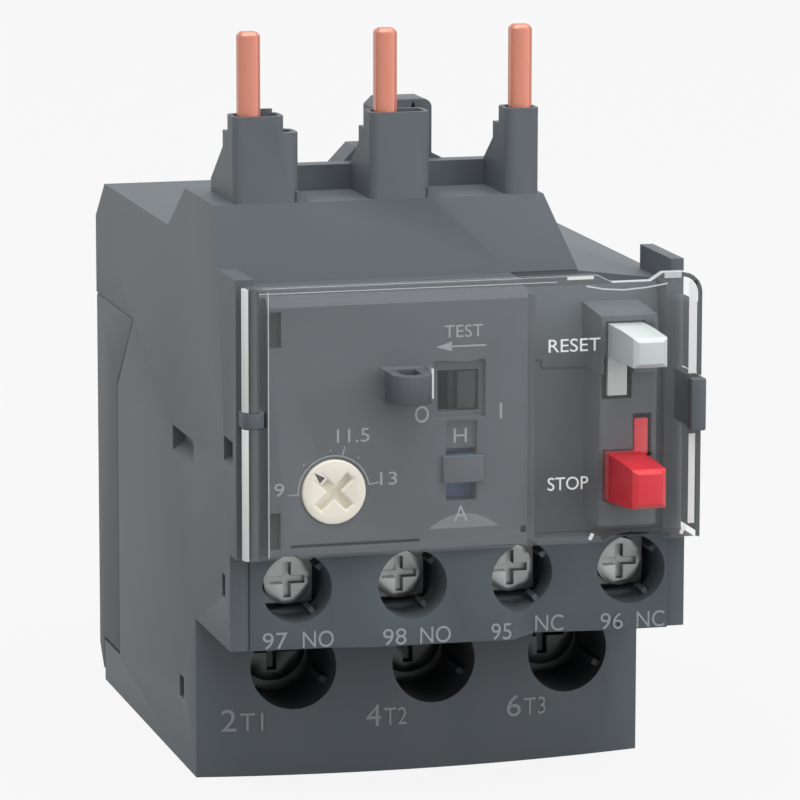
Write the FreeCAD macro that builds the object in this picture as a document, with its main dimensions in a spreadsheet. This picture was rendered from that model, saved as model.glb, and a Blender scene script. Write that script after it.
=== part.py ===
"""Thermal overload relay that plugs in under a contactor by its three copper pins.

Millimetres, +Z up, the front faces -Y and +X is on the right.  The origin lies under the middle
of the whole relay's box, on the plane that the relay stands on.
"""
import FreeCAD, Part
import math
import os
import re

import Sketcher

V = FreeCAD.Vector
doc = FreeCAD.newDocument("overload_relay")

# ---------------------------------------------------------------------------
# Driving sizes.  Each is one cell of the sheet, and every piece is bound to it.
# ---------------------------------------------------------------------------
SIZES = [
    # the whole housing
    ("width", 45.0),
    ("power_depth", 45.4),        # power terminal face to the back
    ("button_reach", 26.5),       # how far each part stands in front of the power terminal face
    ("cover_reach", 19.6),
    ("cheek_reach", 17.4),
    ("boss_reach", 18.3),
    ("panel_reach", 17.6),
    ("plate_reach", 17.0),
    ("control_reach", 14.7),
    ("recess_reach", 12.6),
    ("ridge_reach", 8.7),
    ("front_bulge", 2.2),         # the terminal faces are gently convex
    ("wall", 1.8),
    ("joint_gap", 0.05),          # between mouldings that sit tight
    ("free_gap", 0.3),            # between pieces that move past each other
    ("seam_gap", 0.2),
    # heights
    ("control_bottom", 15.9),
    ("plate_bottom", 25.3),
    ("plate_top", 49.9),
    ("floor_rise", 1.1),          # chamber floor over the control terminals' underside
    ("floor_thick", 1.8),
    ("shelf_step", 0.5),          # shelf over the plate's top
    ("shelf_drop", 0.8),          # lower shelf under the plate's top
    ("ledge_rise", 1.96),
    ("roof_rise", 3.1),
    ("ridge_rise", 4.65),
    ("socket_rise", 8.25),
    ("pin_rise", 7.9),
    ("ceiling_drop", 2.7),        # plate's top down to the chamber's ceiling
    ("seam_drop", 6.2),
    # ridge and sockets
    ("ridge_depth", 12.1),
    ("slope_run", 1.75),          # how far the front slope comes forward down to the ledge
    ("socket_depth", 7.7),
    ("socket_deep", 3.5),         # front to back at the top
    ("socket_step", 1.2),
    ("socket_round", 0.9),
    ("socket_left", 1.85),        # pin's centre to the socket's left side
    ("socket_rim", 0.4),
    ("socket_hollow", 2.5),
    ("gusset_run", 5.0),
    ("back_wall_rise", 2.45),
    ("ridge_inset", 12.6),
    ("flank_inset", 9.7),
    # contactor pins
    ("pin_margin", 4.95),
    ("pin_middle", -5.3),
    ("pin_back", 1.9),            # ridge front face to the pin's centre
    ("pin_wide", 2.1),
    ("pin_thick", 1.8),
    ("pin_bevel", 0.35),
    ("strap_thick", 1.0),
    # power terminals
    ("pole_margin", 3.0),
    ("pole_middle", 0.95),
    ("terminal_drop", 4.4),       # chamber floor down to the screw's centre
    ("access_radius", 4.2),
    ("access_depth", 7.0),
    ("chamber_half", 4.6),
    ("chamber_floor", 2.4),
    ("screw_head_radius", 3.4),
    ("screw_head_thick", 2.4),
    ("screw_radius", 2.0),
    ("clamp_thick", 1.0),
    ("wire_space", 4.4),
    ("bar_thick", 1.4),
    ("nut_thick", 2.2),
    # control terminals
    ("control_margin", 0.8),
    ("control_middle", 0.45),
    ("control_lift", 1.2),        # screw's centre over the middle of the block
    ("control_access_radius", 3.35),
    ("control_access_depth", 3.3),
    ("control_half", 3.4),
    ("control_head_radius", 2.35),
    ("control_head_thick", 1.9),
    ("control_screw_radius", 1.5),
    ("control_strip_thick", 1.0),
    # bimetals and trip slides
    ("strip_thick", 0.9),
    ("strip_wide", 5.0),
    ("strip_place", 25.0),        # behind the power terminal face
    ("strip_sink", 0.3),          # strip's foot under the chamber floor's underside
    ("strip_over", 2.6),          # strip's top over the slides' underside
    ("winding_lift", 5.5),
    ("winding_turns", 8),
    ("winding_pitch", 2.0),
    ("winding_wire", 1.0),
    ("slide_drop", 5.2),          # ceiling down to the slides' underside
    ("slide_tall", 2.0),
    ("slide_thick", 1.2),
    ("slide_travel", 1.4),
    # trip lever and contacts
    ("lever_inset", 3.6),
    ("lever_pivot_y", 8.0),       # behind the power terminal face
    ("lever_pin_radius", 0.75),
    ("hub_radius", 1.6),
    ("contact_lift", 5.7),
    ("contact_radius", 1.2),
    ("contact_thick", 0.6),
    ("contact_travel", 1.0),
    ("bridge_thick", 0.8),
    ("bridge_tall", 2.4),
    # dial and its cam
    ("dial_inset", 6.4),
    ("dial_lift", 6.0),
    ("dial_radius", 3.1),
    ("dial_shaft_radius", 1.5),
    ("cross_reach", 2.1),
    ("cross_half", 0.42),
    ("cam_radius", 3.0),
    ("cam_slope", 0.008),         # fall of the cam's radius, per degree
    # buttons
    ("button_inset", 9.0),
    ("button_wide", 3.5),
    ("button_taper", 0.15),       # lost on the side away from the cover's hinge
    ("reset_drop", 3.9),          # ceiling down to the reset button
    ("reset_tall", 3.1),
    ("stop_lift", 4.0),
    ("stop_tall", 4.6),
    ("stop_undercut", 0.7),
    ("button_travel", 2.0),
    ("spring_wire", 0.35),
    # selector and test slide
    ("selector_travel", 1.4),
    ("mode_left", -2.02),         # selector's window
    ("mode_wide", 2.99),
    ("mode_lift", 4.55),
    ("mode_tall", 4.95),
    ("mark_tall", 2.7),           # sunk panel over the selector's window
    ("test_left", -2.72),         # test slide's window
    ("test_wide", 4.01),
    ("test_lift", 13.03),
    ("test_tall", 3.96),
    ("test_frame", 0.5),
    ("test_travel", 1.9),
    ("boss_left", -8.55),         # sealing boss
    ("boss_wide", 3.9),
    ("boss_lift", 14.95),
    ("boss_tall", 2.75),
    ("groove", 1.2),              # depth of the mouldings' outer pockets
    # clear cover
    ("cover_wall", 1.0),
    ("cover_lift", 0.3),
    ("cover_rise", 1.4),
    ("barrel_radius", 1.05),
    ("barrel_core", 0.6),
    ("hinge_inset", 1.25),         # side of the relay to the hinge line
    ("hinge_behind", 0.7),        # cover's front face to the hinge line
    ("knuckle_tall", 1.4),
]

# Places worked out from the driving sizes.
PLACES = {
    "side": "width / 2",
    "power_face": "(button_reach - power_depth) / 2",
    "back_face": "power_face + power_depth",
    "button_front": "power_face - button_reach",
    "cover_face": "power_face - cover_reach",
    "cover_back": "cover_face + cover_wall",
    "cheek_front": "power_face - cheek_reach",
    "boss_face": "power_face - boss_reach",
    "panel_face": "power_face - panel_reach",
    "plate_face": "power_face - plate_reach",
    "plate_rear": "plate_face + 2",
    "control_face": "power_face - control_reach",
    "recess_face": "power_face - recess_reach",
    "ridge_front": "power_face - ridge_reach",
    "ridge_back": "ridge_front + ridge_depth",
    "slope_break": "ridge_front - slope_run",
    "slope_foot": "ridge_front - slope_run * (ridge_top - shelf_high) / (ridge_top - ledge_top)",
    "socket_back": "ridge_front + socket_depth",
    "seam_y": "back_face - 10",
    "inner": "side - wall",
    "pole_pitch": "(width - pole_margin) / 3",
    "pin_pitch": "(width - pin_margin) / 3",
    "control_pitch": "(width - control_margin) / 4",
    "ceiling": "plate_top - ceiling_drop",
    "seam_top": "ceiling - seam_drop",
    "shelf_high": "plate_top + shelf_step",
    "shelf_low": "plate_top - shelf_drop",
    "ledge_top": "plate_top + ledge_rise",
    "roof_top": "plate_top + roof_rise",
    "ridge_top": "roof_top + ridge_rise",
    "socket_top": "ridge_top + socket_rise",
    "pin_top": "socket_top + pin_rise",
    "ridge_right": "side - ridge_inset",
    "flank_foot": "side - flank_inset",
    "floor_top": "control_bottom + floor_rise",
    "chamber_top": "floor_top - floor_thick",
    "terminal_height": "chamber_top - terminal_drop",
    "control_height": "(control_bottom + plate_bottom) / 2 + control_lift",
    "contact_height": "plate_bottom + contact_lift",
    "strip_foot": "chamber_top - strip_sink",
    "slide_height": "ceiling - slide_drop",
    "strip_top": "slide_height + strip_over",
    "winding_bottom": "floor_top + winding_lift",
    "cover_bottom": "plate_bottom + cover_lift",
    "cover_top": "plate_top + cover_rise",
    "cover_middle": "(cover_bottom + cover_top) / 2",
    "knuckle_bottom": "cover_middle - 0.25",
    "latch_low": "cover_middle - 2.35",
    "latch_high": "cover_middle + 2.8",
    "differential_travel": "slide_travel / 2",
    "pin_y": "ridge_front + pin_back",
    "strap_level": "ceiling - 1.3",
    "chamber_front": "power_face + access_depth",
    "head_front": "chamber_front + 0.5",
    "clamp_front": "head_front + screw_head_thick",
    "wire_front": "clamp_front + clamp_thick",
    "bar_front": "wire_front + wire_space",
    "nut_front": "bar_front + bar_thick",
    "strip_y": "power_face + strip_place",
    "slide_front_y": "strip_y - strip_wide / 2 - 2.5",
    "slide_rear_y": "strip_y + strip_wide / 2 + 1.3",
    "pivot_y": "power_face + lever_pivot_y",
    "control_chamber": "control_face + control_access_depth",
    "control_head": "control_chamber + 0.1",
    "control_clamp": "control_head + control_head_thick",
    "control_wire": "control_clamp + 0.8",
    "strip_face": "control_wire + wire_space",
    "strip_rear": "strip_face + control_strip_thick",
    "nc_bridge": "strip_rear + contact_thick + joint_gap",
    "no_bridge": "strip_face - contact_thick - contact_travel - 0.1 - bridge_thick",
    "carrier_front": "nc_bridge + bridge_thick",
    "hinge_x": "hinge_inset - side",
    "hinge_y": "cover_face + hinge_behind",
    "plate_left": "hinge_x + barrel_radius + 0.8",
    "plate_right": "side - 16.5",
    "dial_x": "plate_left + dial_inset",
    "dial_height": "plate_bottom + dial_lift",
    "lever_pivot_x": "inner - lever_inset",
    "button_left": "side - button_inset",
    "reset_low": "ceiling - reset_drop",
    "stop_low": "plate_bottom + stop_lift",
    "mode_right": "mode_left + mode_wide",
    "mode_low": "plate_bottom + mode_lift",
    "mode_high": "mode_low + mode_tall",
    "test_right": "test_left + test_wide",
    "test_low": "plate_bottom + test_lift",
    "test_high": "test_low + test_tall",
    "boss_right": "boss_left + boss_wide",
    "boss_low": "plate_bottom + boss_lift",
    "boss_high": "boss_low + boss_tall",
    "boss_x": "(boss_left + boss_right) / 2",
    "adjuster_x": "plate_right - 2",
    "adjuster_z": "dial_height + 4.1",
    "tower_left": "button_left - 0.6",
    "tower_right": "button_left + button_wide + 1.6",
    "button_x": "button_left + button_wide / 2",
    "reset_z": "reset_low + reset_tall / 2",
    "stop_z": "stop_low + stop_tall / 2",
}

sheet = doc.addObject("Spreadsheet::Sheet", "Sheet")
for line, (alias, number) in enumerate(SIZES, start=1):
    sheet.set("A%d" % line, alias)
    sheet.set("B%d" % line, str(number))
    sheet.setAlias("B%d" % line, alias)
doc.recompute()

ALIASES = {alias for alias, number in SIZES}
WORD = re.compile(r"[a-z][a-z0-9_]*")


def linked(formula):
    """Write a formula of size and place names as an expression on the sheet's cells."""
    def swap(match):
        word = match.group(0)
        if word in ALIASES:
            return "Sheet." + word
        if word in PLACES:
            return "(" + linked(PLACES[word]) + ")"
        return word
    return WORD.sub(swap, str(formula))


def size(formula):
    """Work a formula out to a number."""
    return float(sheet.evalExpression(linked(formula).replace("Sheet.", "")))


def pole_x(index):
    """Centre line of a power pole, counted 0, 1, 2 from the left."""
    return "pole_middle + %d * pole_pitch" % (index - 1)


def pin_x(index):
    """Centre line of a contactor pin, counted 0, 1, 2 from the left."""
    return "pin_middle + %d * pin_pitch" % (index - 1)


def control_x(index):
    """Centre line of a control terminal, counted 0 to 3 from the left."""
    return "control_middle + %.1f * control_pitch" % (index - 1.5)


# ---------------------------------------------------------------------------
# Outlines.  A loop is a list of corners (u, v) or (u, v, bulge): the edge that leaves a corner
# with a bulge is an arc that stands out by that much to the right of its way.
# ---------------------------------------------------------------------------
def rectangle(left, right, low, high):
    """Four corners, anticlockwise."""
    return [(left, low), (right, low), (right, high), (left, high)]


def rounded(left, right, low, high, radius):
    """Rectangle whose corners are quarter circles."""
    rise = "(%s) * 0.29289" % radius
    return [
        ("(%s) + (%s)" % (left, radius), low), ("(%s) - (%s)" % (right, radius), low, rise),
        (right, "(%s) + (%s)" % (low, radius)), (right, "(%s) - (%s)" % (high, radius), rise),
        ("(%s) - (%s)" % (right, radius), high), ("(%s) + (%s)" % (left, radius), high, rise),
        (left, "(%s) - (%s)" % (high, radius)), (left, "(%s) + (%s)" % (low, radius), rise),
    ]


def disc(u, v, radius):
    """Full circle."""
    return ("circle", u, v, radius)


class Piece:
    """One sub-part: a PartDesign body grown from sketches that are bound to the sheet."""

    TURN = {"XY": 1, "YZ": 1, "XZ": -1}

    def __init__(self, label):
        self.body = doc.addObject("PartDesign::Body", label)
        self.body.Label = label
        self.body.AllowCompound = True
        self.features = 0

    def sketch(self, plane, level, loops):
        """Sketch the loops on an origin plane, moved to a level along the plane's axis."""
        self.features += 1
        drawn = self.body.newObject("Sketcher::SketchObject", "outline_%d" % self.features)
        roles = {feature.Role: feature for feature in self.body.Origin.OriginFeatures}
        drawn.AttachmentSupport = [(roles[plane + "_Plane"], "")]
        drawn.MapMode = "FlatFace"
        drawn.setExpression("AttachmentOffset.Base.z", linked("%d * (%s)" % (self.TURN[plane], level)))
        for loop in loops:
            if loop[0] == "circle":
                self.draw_circle(drawn, *loop[1:])
            else:
                self.draw_loop(drawn, loop)
        return drawn

    @staticmethod
    def pin_down(drawn, kind, first, second, formula):
        """Add one driving constraint and bind it to the sheet."""
        index = drawn.addConstraint(Sketcher.Constraint(kind, *first, *second, size(formula)))
        drawn.setExpression("Constraints[%d]" % index, linked(formula))

    def draw_circle(self, drawn, u, v, radius):
        """Add a circle whose centre and radius are driven."""
        circle = Part.Circle(V(size(u), size(v), 0), V(0, 0, 1), size(radius))
        number = drawn.addGeometry(circle, False)
        self.pin_down(drawn, "DistanceX", (-1, 1), (number, 3), u)
        self.pin_down(drawn, "DistanceY", (-1, 1), (number, 3), v)
        self.pin_down(drawn, "Radius", (number,), (), radius)

    def draw_loop(self, drawn, loop):
        """Add a closed outline of lines and arcs whose corners are driven."""
        corners = [V(size(corner[0]), size(corner[1]), 0) for corner in loop]
        ends = []
        for index, corner in enumerate(loop):
            here = corners[index]
            there = corners[(index + 1) % len(loop)]
            if len(corner) == 2:
                number = drawn.addGeometry(Part.LineSegment(here, there), False)
                ends.append((number, 1, 2))
                continue
            bulge = size(corner[2])
            along = there.sub(here)
            middle = here.add(there).multiply(0.5)
            out = V(along.y, -along.x, 0).normalize().multiply(bulge)
            number = drawn.addGeometry(Part.ArcOfCircle(here, middle.add(out), there), False)
            ends.append((number, 1, 2) if bulge > 0 else (number, 2, 1))
        for index, corner in enumerate(loop):
            follower = ends[(index + 1) % len(loop)]
            drawn.addConstraint(
                Sketcher.Constraint("Coincident", ends[index][0], ends[index][2], follower[0], follower[1]))
            place = (ends[index][0], ends[index][1])
            self.pin_down(drawn, "DistanceX", (-1, 1), place, corner[0])
            self.pin_down(drawn, "DistanceY", (-1, 1), place, corner[1])
            if len(corner) == 3:
                after = loop[(index + 1) % len(loop)]
                chord = "((%s) - (%s)) ^ 2 + ((%s) - (%s)) ^ 2" % (after[0], corner[0], after[1], corner[1])
                reach = "abs(%s)" % corner[2]
                radius = "((%s) / 4 + (%s) ^ 2) / (2 * %s)" % (chord, reach, reach)
                self.pin_down(drawn, "Radius", (ends[index][0],), (), radius)

    def add(self, plane, start, end, *loops):
        """Grow the loops along the plane's axis, from start to end."""
        drawn = self.sketch(plane, start, loops)
        pad = self.body.newObject("PartDesign::Pad", "pad_%d" % self.features)
        pad.Profile = drawn
        pad.setExpression("Length", linked("(%s) - (%s)" % (end, start)))
        pad.Reversed = self.TURN[plane] < 0
        return self

    def cut(self, plane, start, end, *loops):
        """Take the loops away along the plane's axis, from start to end."""
        level = end if self.TURN[plane] > 0 else start
        drawn = self.sketch(plane, level, loops)
        pocket = self.body.newObject("PartDesign::Pocket", "pocket_%d" % self.features)
        pocket.Profile = drawn
        pocket.setExpression("Length", linked("(%s) - (%s)" % (end, start)))
        return self

    def soften(self, radius, chosen, kind="Fillet"):
        """Round or bevel the edges that a test on the edge's bounding box and middle chooses."""
        doc.recompute()
        base = self.body.Tip
        names = []
        for number, edge in enumerate(base.Shape.Edges, start=1):
            if chosen(edge.BoundBox, edge.valueAt((edge.FirstParameter + edge.LastParameter) / 2)):
                names.append("Edge%d" % number)
        feature = self.body.newObject("PartDesign::" + kind, "%s_%d" % (kind.lower(), self.features))
        feature.Base = (base, names)
        feature.setExpression("Radius" if kind == "Fillet" else "Size", linked(radius))
        return self


def at(distance):
    """A place measured back from the power terminal face."""
    return "power_face + (%s)" % distance


def box(piece, left, right, front, back, low, high):
    """Add a plain block."""
    return piece.add("XY", low, high, rectangle(left, right, front, back))


def hollow(piece, left, right, front, back, low, high):
    """Take a plain block away."""
    return piece.cut("XY", low, high, rectangle(left, right, front, back))


# ---------------------------------------------------------------------------
# Mouldings
# ---------------------------------------------------------------------------
def housing_shell():
    """Closed profile, hollowed from the back and from the front recess."""
    piece = Piece("main_housing")
    piece.add("YZ", "-side", "side", [
        (at(0), "0"), ("back_face - 2.8", "0"), ("back_face - 2.8", "4.3"),
        ("seam_y - seam_gap", "4.3"), ("seam_y - seam_gap", "seam_top - 8.2"),
        ("seam_y - 8.2", "seam_top + joint_gap"), ("back_face", "seam_top + joint_gap"),
        ("back_face", "roof_top - 3.9"), ("back_face - 4.5", "roof_top"), (at("11.1"), "roof_top"),
        ("ridge_back", "ridge_top"), ("ridge_front", "ridge_top"),
        ("slope_break", "ledge_top"), ("cheek_front", "ledge_top"),
        ("cheek_front", "plate_bottom - joint_gap"), ("control_face", "plate_bottom - joint_gap"),
        ("control_face", "control_bottom"), (at(0), "control_bottom")])
    piece.add("XY", "0", "control_bottom - 0.15", [
        ("-side", at(0), "front_bulge"), ("side", at(0)), ("side", at(1)), ("-side", at(1))])
    piece.cut("YZ", "-inner", "inner", [
        ("cheek_front - 1", "control_bottom - 0.1"), (at(0), "control_bottom - 0.1"),
        (at(0), "floor_top"), ("back_face - wall", "floor_top"), ("back_face - wall", "ceiling"),
        ("plate_rear + joint_gap", "ceiling"), ("plate_rear + joint_gap", "ledge_top + 1"),
        ("cheek_front - 1", "ledge_top + 1")])
    piece.cut("YZ", "-inner", "side + 1", [
        ("cheek_front - 1", "shelf_high"), ("slope_foot", "shelf_high"), ("slope_break", "ledge_top"),
        ("slope_break", "ledge_top + 0.1"), ("cheek_front - 1", "ledge_top + 0.1")])
    piece.cut("XZ", "cheek_front - 1", "back_face + 1", [
        ("ridge_right", "ridge_top"), ("flank_foot", "shelf_high"), ("side + 1", "shelf_low - 0.14"),
        ("side + 1", "ridge_top + 1"), ("ridge_right", "ridge_top + 1")])
    hollow(piece, "inner - 0.1", "side + 1", "cheek_front - 1", "recess_face - 1", "plate_bottom", "ledge_top")
    hollow(piece, "plate_right + joint_gap", "inner", "cheek_front - 1", "recess_face + 1.85",
           "ceiling - 1", "shelf_high + 0.1")
    hollow(piece, "-inner", "inner", at(30.2), "seam_y + 1", "4.3", "floor_top + 0.1")
    return piece


def housing_power_side(piece):
    """Screw access, chambers, terminal bar troughs and wire entries of the three poles."""
    poles = [pole_x(index) for index in range(3)]
    piece.cut("XZ", at(-3), "chamber_front + 0.1",
              *[disc(x, "terminal_height", "access_radius") for x in poles])
    piece.cut("XY", "chamber_floor", "chamber_top", *[
        rectangle(x + " - chamber_half", x + " + chamber_half", "chamber_front", at(19.2)) for x in poles])
    piece.cut("XY", "chamber_top - 2.6", "floor_top + 0.1", *[
        rectangle(x + " - 2.8", x + " + 2.8", at(16), at(28.3)) for x in poles])
    piece.cut("XY", "-1", "chamber_floor + 0.1", *[
        rectangle(x + " - 3.4", x + " + 3.4", "wire_front - 0.2", "bar_front - 0.1") for x in poles])


def housing_head(piece):
    """Ridge top: sockets round the contactor pins, the wall behind them and the hook."""
    back = "ridge_front + socket_deep"
    heel = back + " + socket_step"
    foot = heel + " + gusset_run"
    for index, tall in enumerate(("3.1", "4.0", "1.5")):
        left, right = pin_x(index) + " - socket_left", pin_x(index) + " + " + tall
        piece.add("XY", "ridge_top - 1", "socket_top", rounded(left, right, "ridge_front", back, "socket_round"))
        box(piece, left, right, "ridge_front + 1", heel, "ridge_top - 1", "socket_top - 1.7")
        piece.add("YZ", left, right, [
            ("ridge_front + 1", "ridge_top - 1"), (foot, "ridge_top - 1"), (foot, "ridge_top + 1.25"),
            (heel, "socket_top - 3.3"), ("ridge_front + 1", "socket_top - 3.3")])
    step = pin_x(0) + " + 4.5"
    piece.add("XY", "ridge_top - 1", "socket_top - 1.6",
              rounded(pin_x(0), step, "ridge_front", back, "socket_round"))
    for right in (step, pin_x(1) + " + 4"):
        piece.add("XZ", "ridge_front", "ridge_front + 1.2", [
            (right + " - 0.3", "ridge_top - 0.5"), (right + " + 1.1", "ridge_top - 0.5"),
            (right + " + 1.1", "ridge_top"), (right, "ridge_top + 1"), (right + " - 0.3", "ridge_top + 1")])
    box(piece, pin_x(0) + " - 0.6", "ridge_right", "socket_back - 0.1", "socket_back + 2",
        "ridge_top - 1", "ridge_top + back_wall_rise")
    box(piece, pin_x(0) + " + 1.5", pin_x(0) + " + 2.6", back + " - 0.4", back, "socket_top - 0.1",
        "socket_top + 0.35")
    piece.add("XZ", "socket_back + 1.9", "socket_back + 6", [
        ("-8", "ridge_top - 2"), ("4.2", "ridge_top - 2"), ("4.2", "ridge_top + 1.6"),
        ("1.45", "ridge_top + 3"), ("1.45", "socket_top - 1", "0.24"), ("0.75", "socket_top"),
        ("-3.5", "socket_top"), ("-4.3", "socket_top - 0.8"), ("-4.3", "ridge_top + 3.8"),
        ("-6.1", "ridge_top + 3.8"), ("-8", "ridge_top + 1.8")])
    piece.cut("XZ", "socket_back + 1.8", "socket_back + 2.9", [
        ("-0.9", "socket_top - 2.2"), ("0.1", "socket_top - 2.2"), ("-0.1", "socket_top - 1"),
        ("-0.4", "socket_top - 0.15"), ("-0.7", "socket_top - 1")])
    for index, tall in enumerate(("3.1", "4.0", "1.5")):
        piece.cut("XY", "socket_top - socket_hollow", "socket_top + 1", rounded(
            pin_x(index) + " - socket_left + socket_rim", pin_x(index) + " + %s - socket_rim" % tall,
            "ridge_front + socket_rim", back + " - socket_rim", "socket_round"))
    piece.cut("XY", "socket_top - 3.4", "socket_top - 1.5", disc(pin_x(0) + " + 3.1", "pin_y - 0.1", "1"))
    piece.cut("XY", "strap_level", "socket_top + 1", *[
        rectangle(pin_x(index) + " - pin_wide / 2 - 0.1", pin_x(index) + " + pin_wide / 2 + 0.1",
                  "pin_y - pin_thick / 2 - 0.1", "pin_y + pin_thick / 2 + 0.1") for index in range(3)])
    box(piece, "side - 1.3", "side", "recess_face - 1", "recess_face + 8.6", "ceiling", "ledge_top - 0.26")


def housing_pockets(piece):
    """Moulding pockets in the outside of the left wall."""
    low, deep = "plate_bottom + 5.5", "groove - side"
    piece.cut("XZ", at(0.4), at(9.5), [
        ("-side - 0.1", low), (deep, low + " + 1.1"), (deep, low + " + 2.6"), ("-side - 0.1", low + " + 2.6")])
    piece.cut("XZ", at(-16), at(-12.4), [
        ("-side - 0.1", "plate_bottom + 8.6"), (deep, "plate_bottom + 9.3"), (deep, "plate_bottom + 11"),
        ("-side - 0.1", "plate_bottom + 11")])
    hollow(piece, "-side - 0.1", deep, at(-12.7), at(-11.4), "control_height - 1.1", "control_height + 1.1")
    hollow(piece, "-side - 0.1", deep, at(5.2), at(7.1), "terminal_height - 4.2", "terminal_height - 2")


def housing_guides(piece):
    """Ledges and lugs that guide the trip slides, the lever pin's seats and the cover's knuckle."""
    box(piece, "-inner - 0.1", "-inner + 3.2", "slide_front_y - 0.4", "slide_rear_y + 1.6",
        "seam_top + 2 * joint_gap", "slide_height - joint_gap")
    for x in ("-10", "4"):
        box(piece, x + " - 1", x + " + 1", "slide_front_y - 0.5", "slide_rear_y + 1.7",
            "slide_height + slide_tall + joint_gap", "ceiling + 0.1")
    piece.cut("XY", "floor_top - 1.4", "floor_top + 0.1",
              disc("lever_pivot_x", "pivot_y", "lever_pin_radius + 0.03"))
    piece.cut("XY", "ceiling - 0.1", "ceiling + 1.3",
              disc("lever_pivot_x", "pivot_y", "lever_pin_radius + 0.03"))
    box(piece, "hinge_x - barrel_radius", "hinge_x + barrel_radius", "hinge_y", "cheek_front + 0.5",
        "knuckle_bottom", "knuckle_bottom + knuckle_tall")
    piece.add("XY", "knuckle_bottom", "knuckle_bottom + knuckle_tall",
              disc("hinge_x", "hinge_y", "barrel_radius"))
    piece.cut("XY", "knuckle_bottom - 0.1", "knuckle_bottom + knuckle_tall + 0.1",
              disc("hinge_x", "hinge_y", "barrel_core + 0.03"))


def main_housing():
    """The large moulding that everything else is fitted into."""
    piece = housing_shell()
    housing_power_side(piece)
    housing_head(piece)
    housing_pockets(piece)
    housing_guides(piece)
    return piece


def rear_cover():
    """Moulded tray that closes the back."""
    piece = Piece("rear_cover")
    piece.add("YZ", "-side", "side", [
        ("seam_y", "4.3 + seam_gap"), ("back_face - 2.6", "4.3 + seam_gap"), ("back_face - 2.6", "1"),
        ("back_face - 2", "1"), ("back_face", "3.4"), ("back_face", "seam_top"),
        ("seam_y - 8.2 + seam_gap", "seam_top"), ("seam_y", "seam_top - 8.2 + seam_gap")])
    hollow(piece, "-inner", "inner", "seam_y - 10", "back_face - wall", "6.3", "seam_top + 0.2")
    return piece


def control_terminal_block():
    """Block of four control terminals, with a convex, stepped front."""
    piece = Piece("control_terminal_block")
    piece.add("XY", "control_bottom", "plate_bottom - 0.1", [
        ("-inner + joint_gap", at(-14.9)), ("-12.6", at(-15.4)), ("-9", at(-16.2)), ("0.7", at(-16.4)),
        ("4.6", at(-16.8)), ("7.6", at(-14.1)), ("14.3", at(-15.0)), ("inner - joint_gap", at(-15.2)),
        ("inner - joint_gap", at(-0.1)), ("-inner + joint_gap", at(-0.1))])
    places = [control_x(index) for index in range(4)]
    piece.cut("XZ", at(-18), "control_chamber + 0.1",
              *[disc(x, "control_height", "control_access_radius") for x in places])
    piece.cut("XY", "control_height - 2.9", "control_height + 2.8", *[
        rectangle(x + " - control_half", x + " + control_half", "control_chamber", "strip_rear + 0.3")
        for x in places])
    piece.cut("XY", "control_bottom - 1", "control_height", *[
        rectangle(x + " - 2.6", x + " + 2.6", "control_wire - 0.1", "strip_face - 0.1") for x in places])
    piece.cut("XY", "control_height", "plate_bottom", *[
        rectangle(x + " - 1.6", x + " + 1.6", "strip_face - 0.1", "strip_rear + 0.1") for x in places])
    return piece


def dial_plate():
    """Front plate that carries the dial, the test slide, the selector and the sealing boss."""
    piece = Piece("dial_plate")
    piece.add("XZ", "plate_face", "plate_rear", rectangle("plate_left", "plate_right", "plate_bottom", "plate_top"))
    piece.add("XZ", "plate_rear - 0.9", "plate_rear",
              rectangle("-inner + joint_gap", "plate_left + 0.1", "plate_bottom", "plate_top"))
    piece.cut("YZ", "plate_left - 0.1", "plate_right + 0.1", [
        ("plate_face - 0.1", "plate_top - 1"), ("plate_face + 0.9", "plate_top + 0.1"),
        ("plate_face - 0.1", "plate_top + 0.1")])
    piece.add("XY", "boss_low", "boss_high", [
        ("boss_left", "plate_face - 4.05", "boss_wide / 2 - 0.001"), ("boss_right", "plate_face - 4.05"),
        ("boss_right", "plate_face + 0.1"), ("boss_left", "plate_face + 0.1")])
    piece.cut("XY", "boss_low - 0.1", "boss_high + 0.1", [
        ("boss_x - 0.95", "plate_face - 3.95", "0.949"), ("boss_x + 0.95", "plate_face - 3.95"),
        ("boss_x + 0.95", "plate_face - 1.8"), ("boss_x - 0.95", "plate_face - 1.8")])
    piece.add("XZ", "plate_rear - 0.1", "plate_rear + 1.8", disc("dial_x", "dial_height", "2.6"))
    piece.cut("XZ", "plate_face - 0.1", "plate_rear - 0.2", disc("dial_x", "dial_height", "dial_radius + 0.1"))
    piece.cut("XZ", "plate_face - 0.1", "plate_rear + 1.9",
              disc("dial_x", "dial_height", "dial_shaft_radius + 0.05"))
    piece.add("XZ", "plate_rear - 0.1", "plate_rear + 3.6", disc("adjuster_x", "adjuster_z", "1"))
    piece.cut("XZ", "plate_face - 0.1", "plate_rear + 0.1",
              rectangle("test_left", "test_right", "test_low", "test_high"),
              rectangle("mode_left", "mode_right", "mode_low", "mode_high"))
    piece.cut("XZ", "plate_face - 0.1", "plate_face + 0.6", rectangle(
        "test_left - test_frame", "test_right + test_frame", "test_low - test_frame",
        "test_high + 2 * test_frame"))
    piece.cut("XZ", "plate_face - 0.1", "plate_face + 0.4",
              rectangle("mode_left", "mode_right", "mode_high - 0.1", "mode_high + mark_tall"))
    left, slot = "plate_left + 0.2", "plate_bottom + 0.75"
    piece.cut("XZ", "plate_face - 0.1", "plate_face + groove",
              rectangle(left, left + " + 1.15", "plate_top - 4.7", "plate_top - 1.3"),
              rectangle(left, left + " + 1.05", "plate_bottom + 0.65", "plate_bottom + 4.2"),
              rectangle(left + " + 2", "boss_right", slot, slot + " + 0.3"),
              rectangle("plate_right - 0.65", "plate_right - 0.1", slot + " + 0.35", slot + " + 1"))
    return piece


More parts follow.
